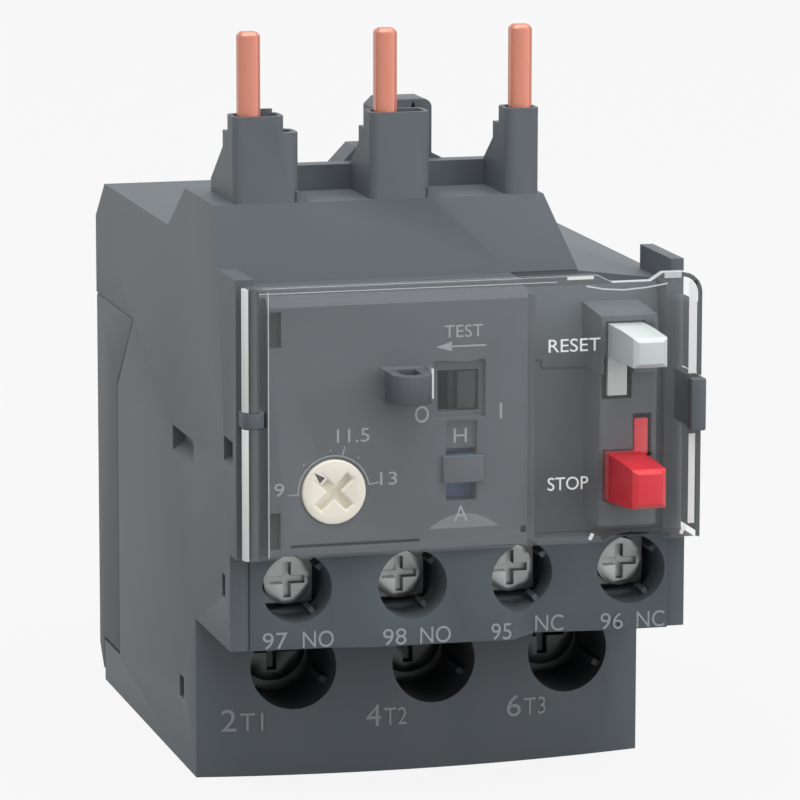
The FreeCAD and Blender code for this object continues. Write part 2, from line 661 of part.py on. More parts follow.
def button_panel():
    """Recess floor on the right, with the towers that the two buttons slide in."""
    piece = Piece("button_panel")
    piece.add("YZ", "plate_right + joint_gap", "inner - joint_gap", [
        ("recess_face", "plate_bottom"), ("recess_face + 1.8", "plate_bottom"),
        ("recess_face + 1.8", "shelf_low - 0.1"), ("recess_face + 1.6", "shelf_low - 0.1"),
        ("recess_face", "shelf_low - 6.1")])
    box(piece, "plate_right + joint_gap", "plate_right + 1.3", "plate_rear + joint_gap", "recess_face + 1.8",
        "plate_bottom", "shelf_low - 0.1")
    box(piece, "tower_left", "tower_right", "panel_face", "recess_face + 0.1",
        "plate_bottom + 1.4", "reset_low - 1.7")
    piece.add("YZ", "tower_left - 0.1", "tower_right - 0.2", [
        ("boss_face", "reset_low - 1.75"), ("recess_face + 0.5", "reset_low - 1.75"),
        ("recess_face + 0.5", "reset_low + 4.3"), ("boss_face", "reset_low + 3.8")])
    left, right = "button_left - 0.2", "button_left + button_wide + 0.2"
    seat = "recess_face + 0.3"
    hollow(piece, left, right, "boss_face - 0.1", seat, "reset_low - 0.2", "reset_low + reset_tall + 0.2")
    hollow(piece, "button_left - 0.4", "button_left + 2.6", "boss_face - 0.1", "boss_face + 2.9",
           "reset_low - 4.3", "reset_low")
    hollow(piece, left, right, "panel_face - 0.1", seat, "stop_low - 0.2", "stop_low + stop_tall + 0.2")
    hollow(piece, "button_left + 2.75", "button_left + 4.6", "panel_face - 0.1", "panel_face + 2.9",
           "stop_low + 4", "stop_low + 8.2")
    piece.cut("XZ", "recess_face", "recess_face + 2", disc("button_x", "reset_z", "1.1"),
              disc("button_x", "stop_z", "1.1"))
    return piece


# ---------------------------------------------------------------------------
# Clear cover
# ---------------------------------------------------------------------------
def clear_cover():
    """Transparent sealing cover with a hinge barrel on its left and cutouts for the buttons."""
    piece = Piece("clear_cover")
    piece.add("XZ", "cover_face", "cover_back", [
        ("hinge_x", "cover_bottom"), ("side - 9.6", "cover_bottom", "-0.9"), ("side - 3.3", "cover_bottom"),
        ("side - 0.1", "cover_bottom"), ("side - 0.1", "cover_top - 2.1", "0.615"), ("side - 2.2", "cover_top"),
        ("side - 4", "cover_top"), ("side - 5.2", "cover_top - 0.75"), ("side - 9", "cover_top - 0.75"),
        ("side - 10.5", "cover_top"), ("hinge_x", "cover_top")])
    box(piece, "side - 1.1", "side - 0.1", "cover_face + 0.1", "recess_face - 1.4", "cover_bottom + 0.4",
        "shelf_low - 0.9")
    barrels = [("cover_bottom", "knuckle_bottom - 0.1"), ("knuckle_bottom + knuckle_tall + 0.1", "cover_top")]
    for low, high in barrels:
        piece.add("XY", low, high, disc("hinge_x", "hinge_y", "barrel_radius"))
    hollow(piece, "-side", "hinge_x + barrel_radius + 0.25", "cover_face - 1", "cover_back + 1",
           "knuckle_bottom - 0.1", "knuckle_bottom + knuckle_tall + 0.1")
    piece.cut("XY", "cover_bottom - 1", "cover_top + 1", disc("hinge_x", "hinge_y", "barrel_core + 0.05"))
    piece.cut("XZ", "cover_face - 0.1", "cover_back + 0.1",
              rectangle("boss_left - 0.2", "boss_right + 0.45", "boss_low - 0.2", "boss_high + 0.2"),
              rectangle("button_left - 0.25", "button_left + button_wide + 0.95", "reset_low - 0.25",
                        "reset_low + reset_tall + 0.25"),
              rectangle("button_left - 0.25", "button_left + button_wide + 0.95", "stop_low - 0.25",
                        "stop_low + stop_tall + 0.25"))
    hollow(piece, "side - 1.2", "side + 1", "cover_face - 1", "recess_face",
           "latch_low", "latch_high")
    return piece


def cover_latch():
    """Dark clip on the cover's free edge."""
    piece = Piece("cover_latch")
    piece.add("XY", "latch_low + joint_gap", "latch_high - joint_gap", [
        ("side - 1.5", "cover_face - 1.3"), ("side", "cover_face - 1.3"), ("side", "recess_face - 1.8"),
        ("side - 1.15", "recess_face - 1.8"), ("side - 1.15", "cover_face - joint_gap"),
        ("side - 1.5", "cover_face - joint_gap")])
    return piece


def cover_hinge_pin():
    """Wire pin through the barrels and the knuckle."""
    return Piece("cover_hinge_pin").add("XY", "cover_bottom + 0.2", "cover_top - 0.2",
                                        disc("hinge_x", "hinge_y", "barrel_core"))


# ---------------------------------------------------------------------------
# Setting dial, selector and test slide
# ---------------------------------------------------------------------------
def adjustment_dial():
    """Round head with a screwdriver cross, on a shaft."""
    piece = Piece("adjustment_dial")
    piece.add("XZ", "plate_face - 0.3", "plate_rear - 0.25", disc("dial_x", "dial_height", "dial_radius"))
    piece.add("XZ", "plate_rear - 0.3", "plate_rear + 3.9", disc("dial_x", "dial_height", "dial_shaft_radius"))
    arms = []
    for quarter in range(4):
        for along, across in (("cross_reach", -1), ("cross_reach", 1), ("cross_half", 1)):
            turn = math.radians(45 + 90 * quarter)
            arms.append((
                "dial_x + %s * %.5f - cross_half * %.5f" % (along, math.cos(turn), across * math.sin(turn)),
                "dial_height + %s * %.5f + cross_half * %.5f" % (along, math.sin(turn), across * math.cos(turn))))
    return piece.cut("XZ", "plate_face - 0.4", "plate_face + 0.8", arms)


def dial_cam():
    """Spiral cam that sets the adjusting lever."""
    corners = []
    for step in range(36):
        turn = (step * 10 - 135) % 360 - 90
        fall = "cam_slope * %d" % turn if turn <= 125 else "cam_slope * (125 - 0.895 * %d)" % (turn - 125)
        if turn < -45:
            fall = "cam_slope * (125 - 0.895 * %d)" % (turn + 235)
        radius = "(cam_radius - %s)" % fall
        angle = math.radians(turn + 90)
        corners.append(("dial_x + %s * %.5f" % (radius, math.cos(angle)),
                        "dial_height + %s * %.5f" % (radius, math.sin(angle))))
    piece = Piece("dial_cam")
    piece.add("XZ", "plate_rear + 2.1", "plate_rear + 3.5", corners)
    piece.cut("XZ", "plate_rear + 2", "plate_rear + 3.6",
              disc("dial_x", "dial_height", "dial_shaft_radius + 0.03"))
    return piece


def adjusting_lever():
    """Lever that follows the cam and sets where the trip slide starts."""
    nose = "dial_height + cam_radius + 0.15"
    piece = Piece("adjusting_lever")
    piece.add("XZ", "plate_rear + 2.1", "plate_rear + 3.3", [
        ("dial_x - 0.6", nose), ("dial_x + 0.6", nose), ("dial_x + 1.2", nose + " + 0.5"),
        ("adjuster_x - 1.6", "adjuster_z - 1.5"), ("adjuster_x + 1.5", "adjuster_z - 1.5"),
        ("adjuster_x + 1.5", "slide_height + 1.3"), ("adjuster_x", "slide_height + 1.3"),
        ("adjuster_x - 0.6", "adjuster_z + 1.5"), ("dial_x - 0.6", nose + " + 1.8")])
    piece.cut("XZ", "plate_rear + 2", "plate_rear + 3.4", disc("adjuster_x", "adjuster_z", "1.05"))
    box(piece, "adjuster_x", "adjuster_x + 1.5", "plate_rear + 3.2", "slide_front_y - 0.3",
        "slide_height - 0.4", "slide_height + 1.3")
    return piece


def mode_selector():
    """Sliding selector between hand and automatic reset."""
    piece = Piece("mode_selector")
    piece.add("XZ", "plate_face", "plate_rear + 0.1", rectangle(
        "mode_left + 0.1", "mode_right - 0.1", "mode_low + selector_travel + 0.4", "mode_high - 0.6"))
    piece.add("XZ", "plate_rear + joint_gap", "plate_rear + 0.9", rectangle(
        "mode_left - 1.2", "mode_right + 1.5", "mode_low - 1.4", "mode_high + selector_travel"))
    return piece


def selector_knob():
    """Grey finger piece on the front of the selector."""
    return Piece("selector_knob").add("XZ", "plate_face - 0.6", "plate_face - joint_gap", rectangle(
        "mode_left - 0.45", "mode_right + 0.6", "mode_low + selector_travel + 0.4", "mode_high - 0.55"))


def test_slider():
    """Small slide that trips the contacts by hand."""
    piece = Piece("test_slider")
    piece.add("XZ", "plate_face + 0.9", "plate_rear + 0.1", rectangle(
        "test_left + test_travel + 0.07", "test_right - 0.1", "test_low + 0.1", "test_high - 0.1"))
    piece.add("XZ", "plate_rear + joint_gap", "plate_rear + 0.9", rectangle(
        "test_left + 1.4", "test_right + 4", "test_low - 1.3", "test_high + 1.1"))
    return piece


# ---------------------------------------------------------------------------
# Buttons
# ---------------------------------------------------------------------------
def button(label, low, tall, undercut, collar_front):
    """Push button that tapers on the side away from the cover's hinge."""
    piece = Piece(label)
    rear = collar_front + " + 1.9"
    high = "(%s) + (%s)" % (low, tall)
    piece.add("XY", low, high, [
        ("button_left + 0.5", "button_front"), ("button_left + button_wide - button_taper - 0.5", "button_front"),
        ("button_left + button_wide - button_taper", "button_front + 0.5"),
        ("button_left + button_wide", "cover_back"), ("button_left + button_wide", rear),
        ("button_left", rear), ("button_left", "button_front + 0.5")])
    piece.cut("YZ", "button_left - 1", "button_left + button_wide + 1", [
        ("button_front - 0.1", "(%s) - 0.1" % low), ("cover_face", "(%s) - 0.1" % low), ("cover_face", low),
        ("button_front + 0.5", "(%s) + (%s)" % (low, undercut)),
        ("button_front - 0.1", "(%s) + (%s) + 0.5" % (low, undercut))])
    piece.cut("YZ", "button_left - 1", "button_left + button_wide + 1", [
        ("button_front - 0.1", high + " + 0.1"), ("button_front - 0.1", high + " - 0.6"),
        ("button_front + 0.6", high + " - 0.15"), ("cover_face", high + " + 0.1")])
    return piece


def reset_button():
    """White button with a leg that shows below it."""
    piece = button("reset_button", "reset_low", "reset_tall", "0.1", "boss_face")
    box(piece, "button_left + 0.1", "button_left + 2", "boss_face + 0.3", "boss_face + 0.8",
        "reset_low - 3.9", "reset_low + 0.1")
    piece.add("XZ", "boss_face + 1.8", "recess_face + 2.15", disc("button_x", "reset_z", "0.95"))
    return piece


def stop_button():
    """Red button with a tab that shows above it."""
    piece = button("stop_button", "stop_low", "stop_tall", "stop_undercut", "panel_face")
    box(piece, "button_left + button_wide - 0.6", "button_left + 4.3", "panel_face + 0.1",
        "panel_face + 0.8", "stop_low + 4.2", "stop_low + 7.7")
    piece.add("XZ", "panel_face + 1.8", "recess_face + 2.15", disc("button_x", "stop_z", "0.95"))
    return piece


def reset_plunger():
    """Carries the reset push back to the lever's heel."""
    piece = Piece("reset_plunger")
    front = "recess_face + 2.2"
    box(piece, "button_x - 1.1", "inner - 0.5", front, front + " + 1.4", "reset_z - 0.9", "reset_z + 0.8")
    box(piece, "inner - 2", "inner - 0.5", front + " + 1.3", "pivot_y - 3.4", "reset_z - 0.9", "reset_z + 0.8")
    return piece


def stop_plunger():
    """Carries the stop push back to the normally closed bridge."""
    piece = Piece("stop_plunger")
    front = "recess_face + 2.2"
    box(piece, "button_left - 0.4", "button_x + 1.1", front, front + " + 1.2", "stop_z - 1", "stop_z + 1")
    box(piece, "button_left - 0.4", "button_left + 1.6", front + " + 1.1", "nc_bridge - 2.6", "stop_z - 1", "stop_z + 1")
    return piece


def button_spring(label, height, front):
    """Return spring round a button's stem: flat turns joined on alternate sides."""
    piece = Piece(label)
    pitch = "(recess_face + 0.3 - (%s) - 2 * joint_gap - spring_wire) / 4" % front
    for turn in range(5):
        level = "(%s) + joint_gap + %d * (%s)" % (front, turn, pitch)
        piece.add("XZ", level, level + " + spring_wire", disc("button_x", height, "1.6"),
                  disc("button_x", height, "1.15"))
        if turn < 4:
            near, far = ("1.2", "1.5") if turn % 2 else ("-1.5", "-1.2")
            piece.add("XZ", level + " + spring_wire / 2", level + " + spring_wire / 2 + %s" % pitch,
                      rectangle("button_x + " + near, "button_x + " + far, height + " - 0.3", height + " + 0.3"))
    return piece


# ---------------------------------------------------------------------------
# Trip train and contacts
# ---------------------------------------------------------------------------
def main_slide():
    """Bar that the three bimetals push to the right."""
    top = "slide_height + slide_tall"
    piece = Piece("main_slide")
    box(piece, "-inner + 1", "lever_pivot_x - 0.55", "slide_front_y", "slide_front_y + slide_thick",
        "slide_height", top)
    for index in range(3):
        x = pole_x(index) + " + strip_thick / 2"
        box(piece, x + " + 0.1", x + " + 1.3", "slide_front_y + slide_thick - 0.1", "strip_y - 0.3",
            "slide_height", top)
    box(piece, "adjuster_x + 2.4", "adjuster_x + 3.6", "slide_front_y - 1.4", "slide_front_y + 0.1",
        "slide_height", top)
    return piece


def differential_slide():
    """Second bar, held back by a bimetal that stays cold when a phase is lost."""
    top = "slide_height + slide_tall"
    piece = Piece("differential_slide")
    box(piece, "-inner + 1", "lever_pivot_x - 1.4", "slide_rear_y", "slide_rear_y + slide_thick",
        "slide_height", top)
    for index in range(3):
        x = pole_x(index) + " - strip_thick / 2 - differential_travel"
        box(piece, x + " - 1.3", x + " - 0.1", "strip_y + 0.9", "slide_rear_y + 0.1", "slide_height", top)
    return piece


def lever_pin():
    """Pin that the trip lever turns on."""
    return Piece("lever_pin").add("XY", "floor_top - 1.35", "ceiling + 1.25",
                                  disc("lever_pivot_x", "pivot_y", "lever_pin_radius"))


def trip_lever():
    """Bell crank: the slide pushes one arm, the other moves the contact carrier."""
    piece = Piece("trip_lever")
    piece.add("XY", "contact_height - 1.5", "slide_height + 3.6", disc("lever_pivot_x", "pivot_y", "hub_radius"))
    box(piece, "lever_pivot_x - 9.5", "lever_pivot_x - 1", "pivot_y - 0.8", "pivot_y + 0.8",
        "contact_height - 1", "contact_height + 1")
    box(piece, "lever_pivot_x + 1", "inner - 0.5", "pivot_y - 0.8", "pivot_y + 0.8",
        "reset_z - 1.2", "reset_z + 0.7")
    box(piece, "lever_pivot_x + 0.45", "lever_pivot_x + 1.4", "pivot_y + 0.5", "pivot_y + 5",
        "slide_height - 0.4", "slide_height + slide_tall + 0.4")
    piece.cut("XY", "contact_height - 2", "slide_height + 4",
              disc("lever_pivot_x", "pivot_y", "lever_pin_radius + 0.05"))
    return piece


def compensation_strip():
    """Bimetal that makes up for the room's temperature."""
    return box(Piece("compensation_strip"), "lever_pivot_x - 0.4", "lever_pivot_x + 0.4", "pivot_y + 1.9",
               "slide_front_y + slide_thick + 0.4", "slide_height - 0.2", "slide_height + slide_tall + 0.2")


def contact_carrier():
    """Moulded bar that carries both bridges and is drawn back by the trip lever."""
    front = "carrier_front + joint_gap"
    low, high = "contact_height - bridge_tall / 2", "contact_height + bridge_tall / 2"
    piece = Piece("contact_carrier")
    box(piece, control_x(0) + " - 1.4", control_x(3) + " + 1.2", front, front + " + 1.8",
        low + " - 0.2", high + " + 0.2")
    box(piece, "-12.2", "-9.0", "no_bridge - 1.2", front + " + 1", low + " - 1", high + " + 1")
    box(piece, "9.9", "12.3", "nc_bridge - 1", front + " + 1", low + " - 1", high + " + 1")
    box(piece, "lever_pivot_x - 12.1", "lever_pivot_x - 10.1", front + " + 1.7", "pivot_y + 2.6",
        "contact_height - 1", "contact_height + 1")
    box(piece, "lever_pivot_x - 10.2", "lever_pivot_x - 7.5", "pivot_y + 0.9", "pivot_y + 2.6",
        "contact_height - 1", "contact_height + 1")
    for bridge in ("no_bridge", "nc_bridge"):
        piece.cut("YZ", "-side", "side", rectangle(
            bridge + " - joint_gap", bridge + " + bridge_thick + joint_gap",
            low + " - joint_gap", high + " + joint_gap"))
    return piece


def bridge(label, first, last, front):
    """Moving contact bridge."""
    return box(Piece(label), control_x(first) + " - 1.4", control_x(last) + " + 1.4", front,
               front + " + bridge_thick", "contact_height - bridge_tall / 2", "contact_height + bridge_tall / 2")


def contact_strip(index):
    """Fixed contact, from its screw terminal up to its silver pad."""
    x = control_x(index)
    piece = Piece("contact_strip_%d" % (95 + (index + 2) % 4))
    box(piece, x + " - 1.5", x + " + 1.5", "strip_face", "strip_rear", "control_height - 2.6",
        "contact_height + 1.6")
    piece.cut("XZ", "strip_face - 0.1", "strip_rear + 0.1", disc(x, "control_height", "control_screw_radius - 0.35"))
    if index < 2:
        piece.add("XZ", "strip_face - contact_thick", "strip_face + 0.1", disc(x, "contact_height", "contact_radius"))
    else:
        piece.add("XZ", "strip_rear - 0.1", "strip_rear + contact_thick", disc(x, "contact_height", "contact_radius"))
    return piece


# ---------------------------------------------------------------------------
# Current path
# ---------------------------------------------------------------------------
SIDES = ("left", "middle", "right")


def line_pin(index):
    """Copper pin to the contactor, with its strap and the leg down to the heater."""
    x, pole = pin_x(index), pole_x(index)
    half_x, half_y = "pin_wide / 2", "pin_thick / 2"
    piece = Piece("line_pin_" + SIDES[index])
    piece.add("XY", "strap_level + strap_thick - 0.1", "pin_top", [
        (x + " - %s + pin_bevel" % half_x, "pin_y - " + half_y), (x + " + %s - pin_bevel" % half_x, "pin_y - " + half_y),
        (x + " + " + half_x, "pin_y - %s + pin_bevel" % half_y), (x + " + " + half_x, "pin_y + %s - pin_bevel" % half_y),
        (x + " + %s - pin_bevel" % half_x, "pin_y + " + half_y), (x + " - %s + pin_bevel" % half_x, "pin_y + " + half_y),
        (x + " - " + half_x, "pin_y + %s - pin_bevel" % half_y), (x + " - " + half_x, "pin_y - %s + pin_bevel" % half_y)])
    piece.soften("pin_bevel", lambda b, m: b.ZMin > size("pin_top") - 0.01, "Chamfer")
    box(piece, x + " - 1.5", pole + " - 2.35", "pin_y - 1.2", "strip_y + 1", "strap_level",
        "strap_level + strap_thick")
    box(piece, pole + " - 3.8", pole + " - 2.35", "strip_y - 0.6", "strip_y + 0.6",
        "winding_bottom + winding_turns * winding_pitch - 3", "strap_level + 0.1")
    return piece


def bimetal_strip(index):
    """Strip that bends towards the slide's finger as it warms."""
    x = pole_x(index)
    return box(Piece("bimetal_strip_" + SIDES[index]), x + " - strip_thick / 2", x + " + strip_thick / 2",
               "strip_y - strip_wide / 2", "strip_y + strip_wide / 2", "strip_foot", "strip_top")


def heater_sleeve(index):
    """Insulating sleeve between the strip and its heater."""
    x = pole_x(index)
    piece = Piece("heater_sleeve_" + SIDES[index])
    box(piece, x + " - 1.25", x + " + 1.25", "strip_y - 3.3", "strip_y + 3.3", "winding_bottom - 1",
        "winding_bottom + winding_turns * winding_pitch")
    hollow(piece, x + " - 0.5", x + " + 0.5", "strip_y - strip_wide / 2 - joint_gap",
           "strip_y + strip_wide / 2 + joint_gap", "winding_bottom - 2",
           "winding_bottom + winding_turns * winding_pitch + 1")
    return piece


def heater_winding(index):
    """Flat heater conductor in turns round the sleeve."""
    x = pole_x(index)
    piece = Piece("heater_winding_" + SIDES[index])
    for turn in range(8):
        low = "winding_bottom + %d * winding_pitch" % turn
        piece.add("XY", low, low + " + winding_wire",
                  rectangle(x + " - 2.3", x + " + 2.3", "strip_y - 4.4", "strip_y + 4.4"),
                  rectangle(x + " - 1.3", x + " + 1.3", "strip_y - 3.35", "strip_y + 3.35"))
    box(piece, x + " - 2.3", x + " - 1.3", "strip_y - 0.5", "strip_y + 0.5", "strip_foot",
        "winding_bottom + 7 * winding_pitch + 0.5")
    return piece


def terminal_bar(index):
    """Terminal plate with a shelf that the bimetal stands on."""
    x = pole_x(index)
    piece = Piece("terminal_bar_" + SIDES[index])
    box(piece, x + " - 4", x + " + 4", "bar_front", "bar_front + bar_thick", "chamber_floor + 0.6",
        "strip_foot - joint_gap")
    box(piece, x + " - 2.4", x + " + 2.4", "bar_front + 0.1", "strip_y + strip_wide / 2", 
        "strip_foot - joint_gap - 1.4", "strip_foot - joint_gap")
    piece.cut("XZ", "bar_front - 0.1", "nut_front + 0.1", disc(x, "terminal_height", "screw_radius + 0.1"))
    return piece


def power_terminal_screws():
    """Three pan-head terminal screws."""
    piece = Piece("power_terminal_screws")
    places = [pole_x(index) for index in range(3)]
    piece.add("XZ", "head_front", "clamp_front", *[
        disc(x, "terminal_height", "screw_head_radius") for x in places])
    piece.add("XZ", "clamp_front - 0.1", "nut_front + nut_thick - 0.2", *[
        disc(x, "terminal_height", "screw_radius") for x in places])
    for half_wide, half_tall in (("0.45", "2.3"), ("2.3", "0.45")):
        piece.cut("XZ", "head_front - 0.1", "head_front + 1.2", *[
            rectangle(x + " - " + half_wide, x + " + " + half_wide, "terminal_height - " + half_tall,
                      "terminal_height + " + half_tall) for x in places])
    return piece


def power_clamps():
    """Three clamp plates under the screw heads."""
    piece = Piece("power_clamps")
    places = [pole_x(index) for index in range(3)]
    piece.add("XZ", "clamp_front + joint_gap", "wire_front", *[
        rectangle(x + " - 4.2", x + " + 4.2", "terminal_height - 4.5", "terminal_height + 4") for x in places])
    piece.cut("XZ", "clamp_front", "wire_front + 0.1", *[
        disc(x, "terminal_height", "screw_radius + 0.1") for x in places])
    return piece


def power_nuts():
    """Three square nuts behind the terminal bars."""
    piece = Piece("power_nuts")
    places = [pole_x(index) for index in range(3)]
    piece.add("XZ", "nut_front + joint_gap", "nut_front + nut_thick", *[
        rectangle(x + " - 3.2", x + " + 3.2", "terminal_height - 3.1", "terminal_height + 2.5") for x in places])
    piece.cut("XZ", "nut_front", "nut_front + nut_thick + 0.1", *[
        disc(x, "terminal_height", "screw_radius + 0.03") for x in places])
    return piece


def control_terminal_screws():
    """Four control terminal screws."""
    piece = Piece("control_terminal_screws")
    places = [control_x(index) for index in range(4)]
    piece.add("XZ", "control_head", "control_clamp", *[
        disc(x, "control_height", "control_head_radius") for x in places])
    piece.add("XZ", "control_clamp - 0.1", "strip_rear + 0.2", *[
        disc(x, "control_height", "control_screw_radius - 0.4") for x in places])
    for half_wide, half_tall in (("0.35", "1.7"), ("1.7", "0.35")):
        piece.cut("XZ", "control_head - 0.1", "control_head + 0.9", *[
            rectangle(x + " - " + half_wide, x + " + " + half_wide, "control_height - " + half_tall,
                      "control_height + " + half_tall) for x in places])
    return piece


def control_clamps():
    """Four clamp plates under the control screws."""
    piece = Piece("control_clamps")
    places = [control_x(index) for index in range(4)]
    piece.add("XZ", "control_clamp + joint_gap", "control_wire", *[
        rectangle(x + " - 2.9", x + " + 2.9", "control_height - 2.6", "control_height + 2.5") for x in places])
    piece.cut("XZ", "control_clamp", "control_wire + 0.1", *[
        disc(x, "control_height", "control_screw_radius - 0.35") for x in places])
    return piece


def build_all():
    """Make every piece; the bodies come back in the order of the parts list."""
    made = [main_housing(), rear_cover(), control_terminal_block(), dial_plate(), button_panel()]
    made += [clear_cover(), cover_latch(), cover_hinge_pin()]
    made += [adjustment_dial(), dial_cam(), adjusting_lever()]
    made += [mode_selector(), selector_knob(), test_slider()]
    made += [reset_button(), reset_plunger(), stop_button(), stop_plunger()]
    made += [main_slide(), differential_slide(), lever_pin(), trip_lever(), compensation_strip()]
    made += [contact_carrier(), bridge("open_bridge", 0, 1, "no_bridge"),
             bridge("closed_bridge", 2, 3, "nc_bridge")]
    made += [contact_strip(index) for index in range(4)]
    for maker in (line_pin, bimetal_strip, heater_sleeve, heater_winding, terminal_bar):
        made += [maker(index) for index in range(3)]
    made += [power_terminal_screws(), power_clamps(), power_nuts(), control_terminal_screws(), control_clamps()]
    made += [button_spring("reset_spring", "reset_z", "boss_face + 1.9"),
             button_spring("stop_spring", "stop_z", "panel_face + 1.9")]
    return [piece.body for piece in made]


pieces = build_all()
doc.recompute()
faults = [thing.Label for thing in doc.Objects if "Invalid" in thing.State or "Error" in thing.State]
for thing in pieces:
    if thing.Shape.isNull() or not thing.Shape.isValid() or not thing.Shape.Solids:
        faults.append(thing.Label)
if faults:
    raise RuntimeError("these did not build: " + ", ".join(faults))

os.makedirs("parts", exist_ok=True)
for thing in pieces:
    thing.Shape.exportStep(os.path.join("parts", thing.Label + ".step"))
whole = FreeCAD.BoundBox()
for thing in pieces:
    whole.add(thing.Shape.BoundBox)
print("pieces", len(pieces), "box", whole)
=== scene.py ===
import logging
import math
from dataclasses import dataclass, field
from enum import Enum

import bmesh
import bpy
from mathutils import Matrix, Vector


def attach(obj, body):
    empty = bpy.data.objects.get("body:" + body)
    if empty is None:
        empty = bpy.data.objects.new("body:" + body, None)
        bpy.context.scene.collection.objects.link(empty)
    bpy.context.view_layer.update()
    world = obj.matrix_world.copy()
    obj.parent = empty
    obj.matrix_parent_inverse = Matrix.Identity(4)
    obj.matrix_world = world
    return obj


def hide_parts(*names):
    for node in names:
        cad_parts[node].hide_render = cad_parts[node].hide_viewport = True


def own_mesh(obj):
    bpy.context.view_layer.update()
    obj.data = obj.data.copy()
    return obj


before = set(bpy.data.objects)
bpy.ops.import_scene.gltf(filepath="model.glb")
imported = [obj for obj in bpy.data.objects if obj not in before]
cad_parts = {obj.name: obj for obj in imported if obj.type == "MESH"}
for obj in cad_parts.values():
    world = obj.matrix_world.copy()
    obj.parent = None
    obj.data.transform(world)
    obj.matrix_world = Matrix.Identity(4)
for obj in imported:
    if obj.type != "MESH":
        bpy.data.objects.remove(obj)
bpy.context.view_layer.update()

LOG = logging.getLogger("overload_relay")
MM = 0.001
POWER_FACE = -9.45 * MM       # front of the power terminals; the front's steps count from it
RAISED = 0.02 * MM            # how far a drawn line or patch stands off its face
WELD = 0.005 * MM             # corners nearer than this are one
FLAT = math.radians(1.0)      # faces that meet at less than this are one
ROUNDED = math.radians(28.0)  # edges sharper than this are rounded
FINE = 3                      # faces across a rounded edge that is seen close
PURE_WHITE = (1.0, 1.0, 1.0, 1.0)

Point = tuple[float, float, float]
Line = tuple[tuple[float, float], ...]
Place = tuple[Point, Point]


def back(distance_mm: float) -> float:
    """Depth in metres of a place counted back, in millimetres, from the power terminal face."""
    return POWER_FACE + distance_mm * MM


# ---------------------------------------------------------------------------
# Finishes
# ---------------------------------------------------------------------------
def linear(hex_colour: str) -> tuple[float, float, float, float]:
    """Turn an sRGB hex value into Blender's linear colour.

    Args:
        hex_colour: six hex digits.

    Returns:
        Linear red, green, blue and an alpha of 1.
    """
    channels = [int(hex_colour[start:start + 2], 16) / 255 for start in (0, 2, 4)]
    red, green, blue = (c / 12.92 if c <= 0.04045 else ((c + 0.055) / 1.055) ** 2.4
                        for c in channels)
    return red, green, blue, 1.0


def add_node(tree: bpy.types.NodeTree, kind: str, settings: dict | None = None,
             inputs: dict | None = None) -> bpy.types.Node:
    """Add one node to a tree.

    Args:
        tree: the tree it goes into.
        kind: Blender's name of the node's type.
        settings: attributes of the node.
        inputs: socket name or number to a value, or to an output socket that it is linked from.

    Returns:
        The new node.
    """
    node = tree.nodes.new(kind)
    for name, value in (settings or {}).items():
        setattr(node, name, value)
    for name, value in (inputs or {}).items():
        if isinstance(value, bpy.types.NodeSocket):
            tree.links.new(value, node.inputs[name])
        else:
            node.inputs[name].default_value = value
    return node


class Surface(Enum):
    """How a surface was made, which says whether it has a grain and which way it runs."""

    SPARKED = "spark-eroded mould texture"
    GLOSSY = "polished mould"
    BRUSHED = "rolled or drawn metal"
    PRINTED = "pad-printed ink"


GRAIN_STRETCH = {Surface.SPARKED: (1.0, 1.0, 1.0), Surface.BRUSHED: (1.0, 1.0, 0.06)}
GRAIN_DETAIL = 2.0
GRAIN_DEPTH = 0.05 * MM


@dataclass(frozen=True)
class Finish:
    """One real material and how its surface was made."""

    name: str
    colour: str
    roughness: float
    surface: Surface = Surface.SPARKED
    metallic: float = 0.0
    ior: float = 1.5
    alpha: float = 1.0
    grain_mm: float = 0.5         # the real texture is finer; drawn coarse enough to show
    relief: float = 0.12
    gloss: float = 0.5

    def material(self) -> bpy.types.Material:
        """Build the material, or find it if it is there already.

        Returns:
            The material.
        """
        found = bpy.data.materials.get(self.name)
        if found:
            return found
        made = bpy.data.materials.new(self.name)
        made.use_nodes = True
        tree = made.node_tree
        shader = tree.nodes["Principled BSDF"]
        shader.inputs["Base Color"].default_value = linear(self.colour)
        shader.inputs["Roughness"].default_value = self.roughness
        shader.inputs["Metallic"].default_value = self.metallic
        shader.inputs["IOR"].default_value = self.ior
        shader.inputs["Specular IOR Level"].default_value = self.gloss
        shader.inputs["Alpha"].default_value = self.alpha
        if self.surface in GRAIN_STRETCH:
            place = add_node(tree, "ShaderNodeTexCoord")
            turned = add_node(tree, "ShaderNodeMapping", inputs={
                "Vector": place.outputs["Object"], "Scale": GRAIN_STRETCH[self.surface]})
            grain = add_node(tree, "ShaderNodeTexNoise", inputs={
                "Vector": turned.outputs["Vector"], "Scale": 1.0 / (self.grain_mm * MM),
                "Detail": GRAIN_DETAIL})
            bump = add_node(tree, "ShaderNodeBump", inputs={
                "Height": grain.outputs["Fac"], "Strength": self.relief, "Distance": GRAIN_DEPTH})
            tree.links.new(bump.outputs["Normal"], shader.inputs["Normal"])
        return made


def plastic(name: str, colour: str, roughness: float) -> Finish:
    """Finish of a small fine-grained moulding."""
    return Finish(name, colour, roughness, grain_mm=0.4, relief=0.05)


def metal(name: str, colour: str, roughness: float, grain_mm: float = 0.3, relief: float = 0.05,
          metallic: float = 1.0) -> Finish:
    """Finish of a rolled, drawn or plated metal."""
    return Finish(name, colour, roughness, Surface.BRUSHED, metallic=metallic,
                  grain_mm=grain_mm, relief=relief)


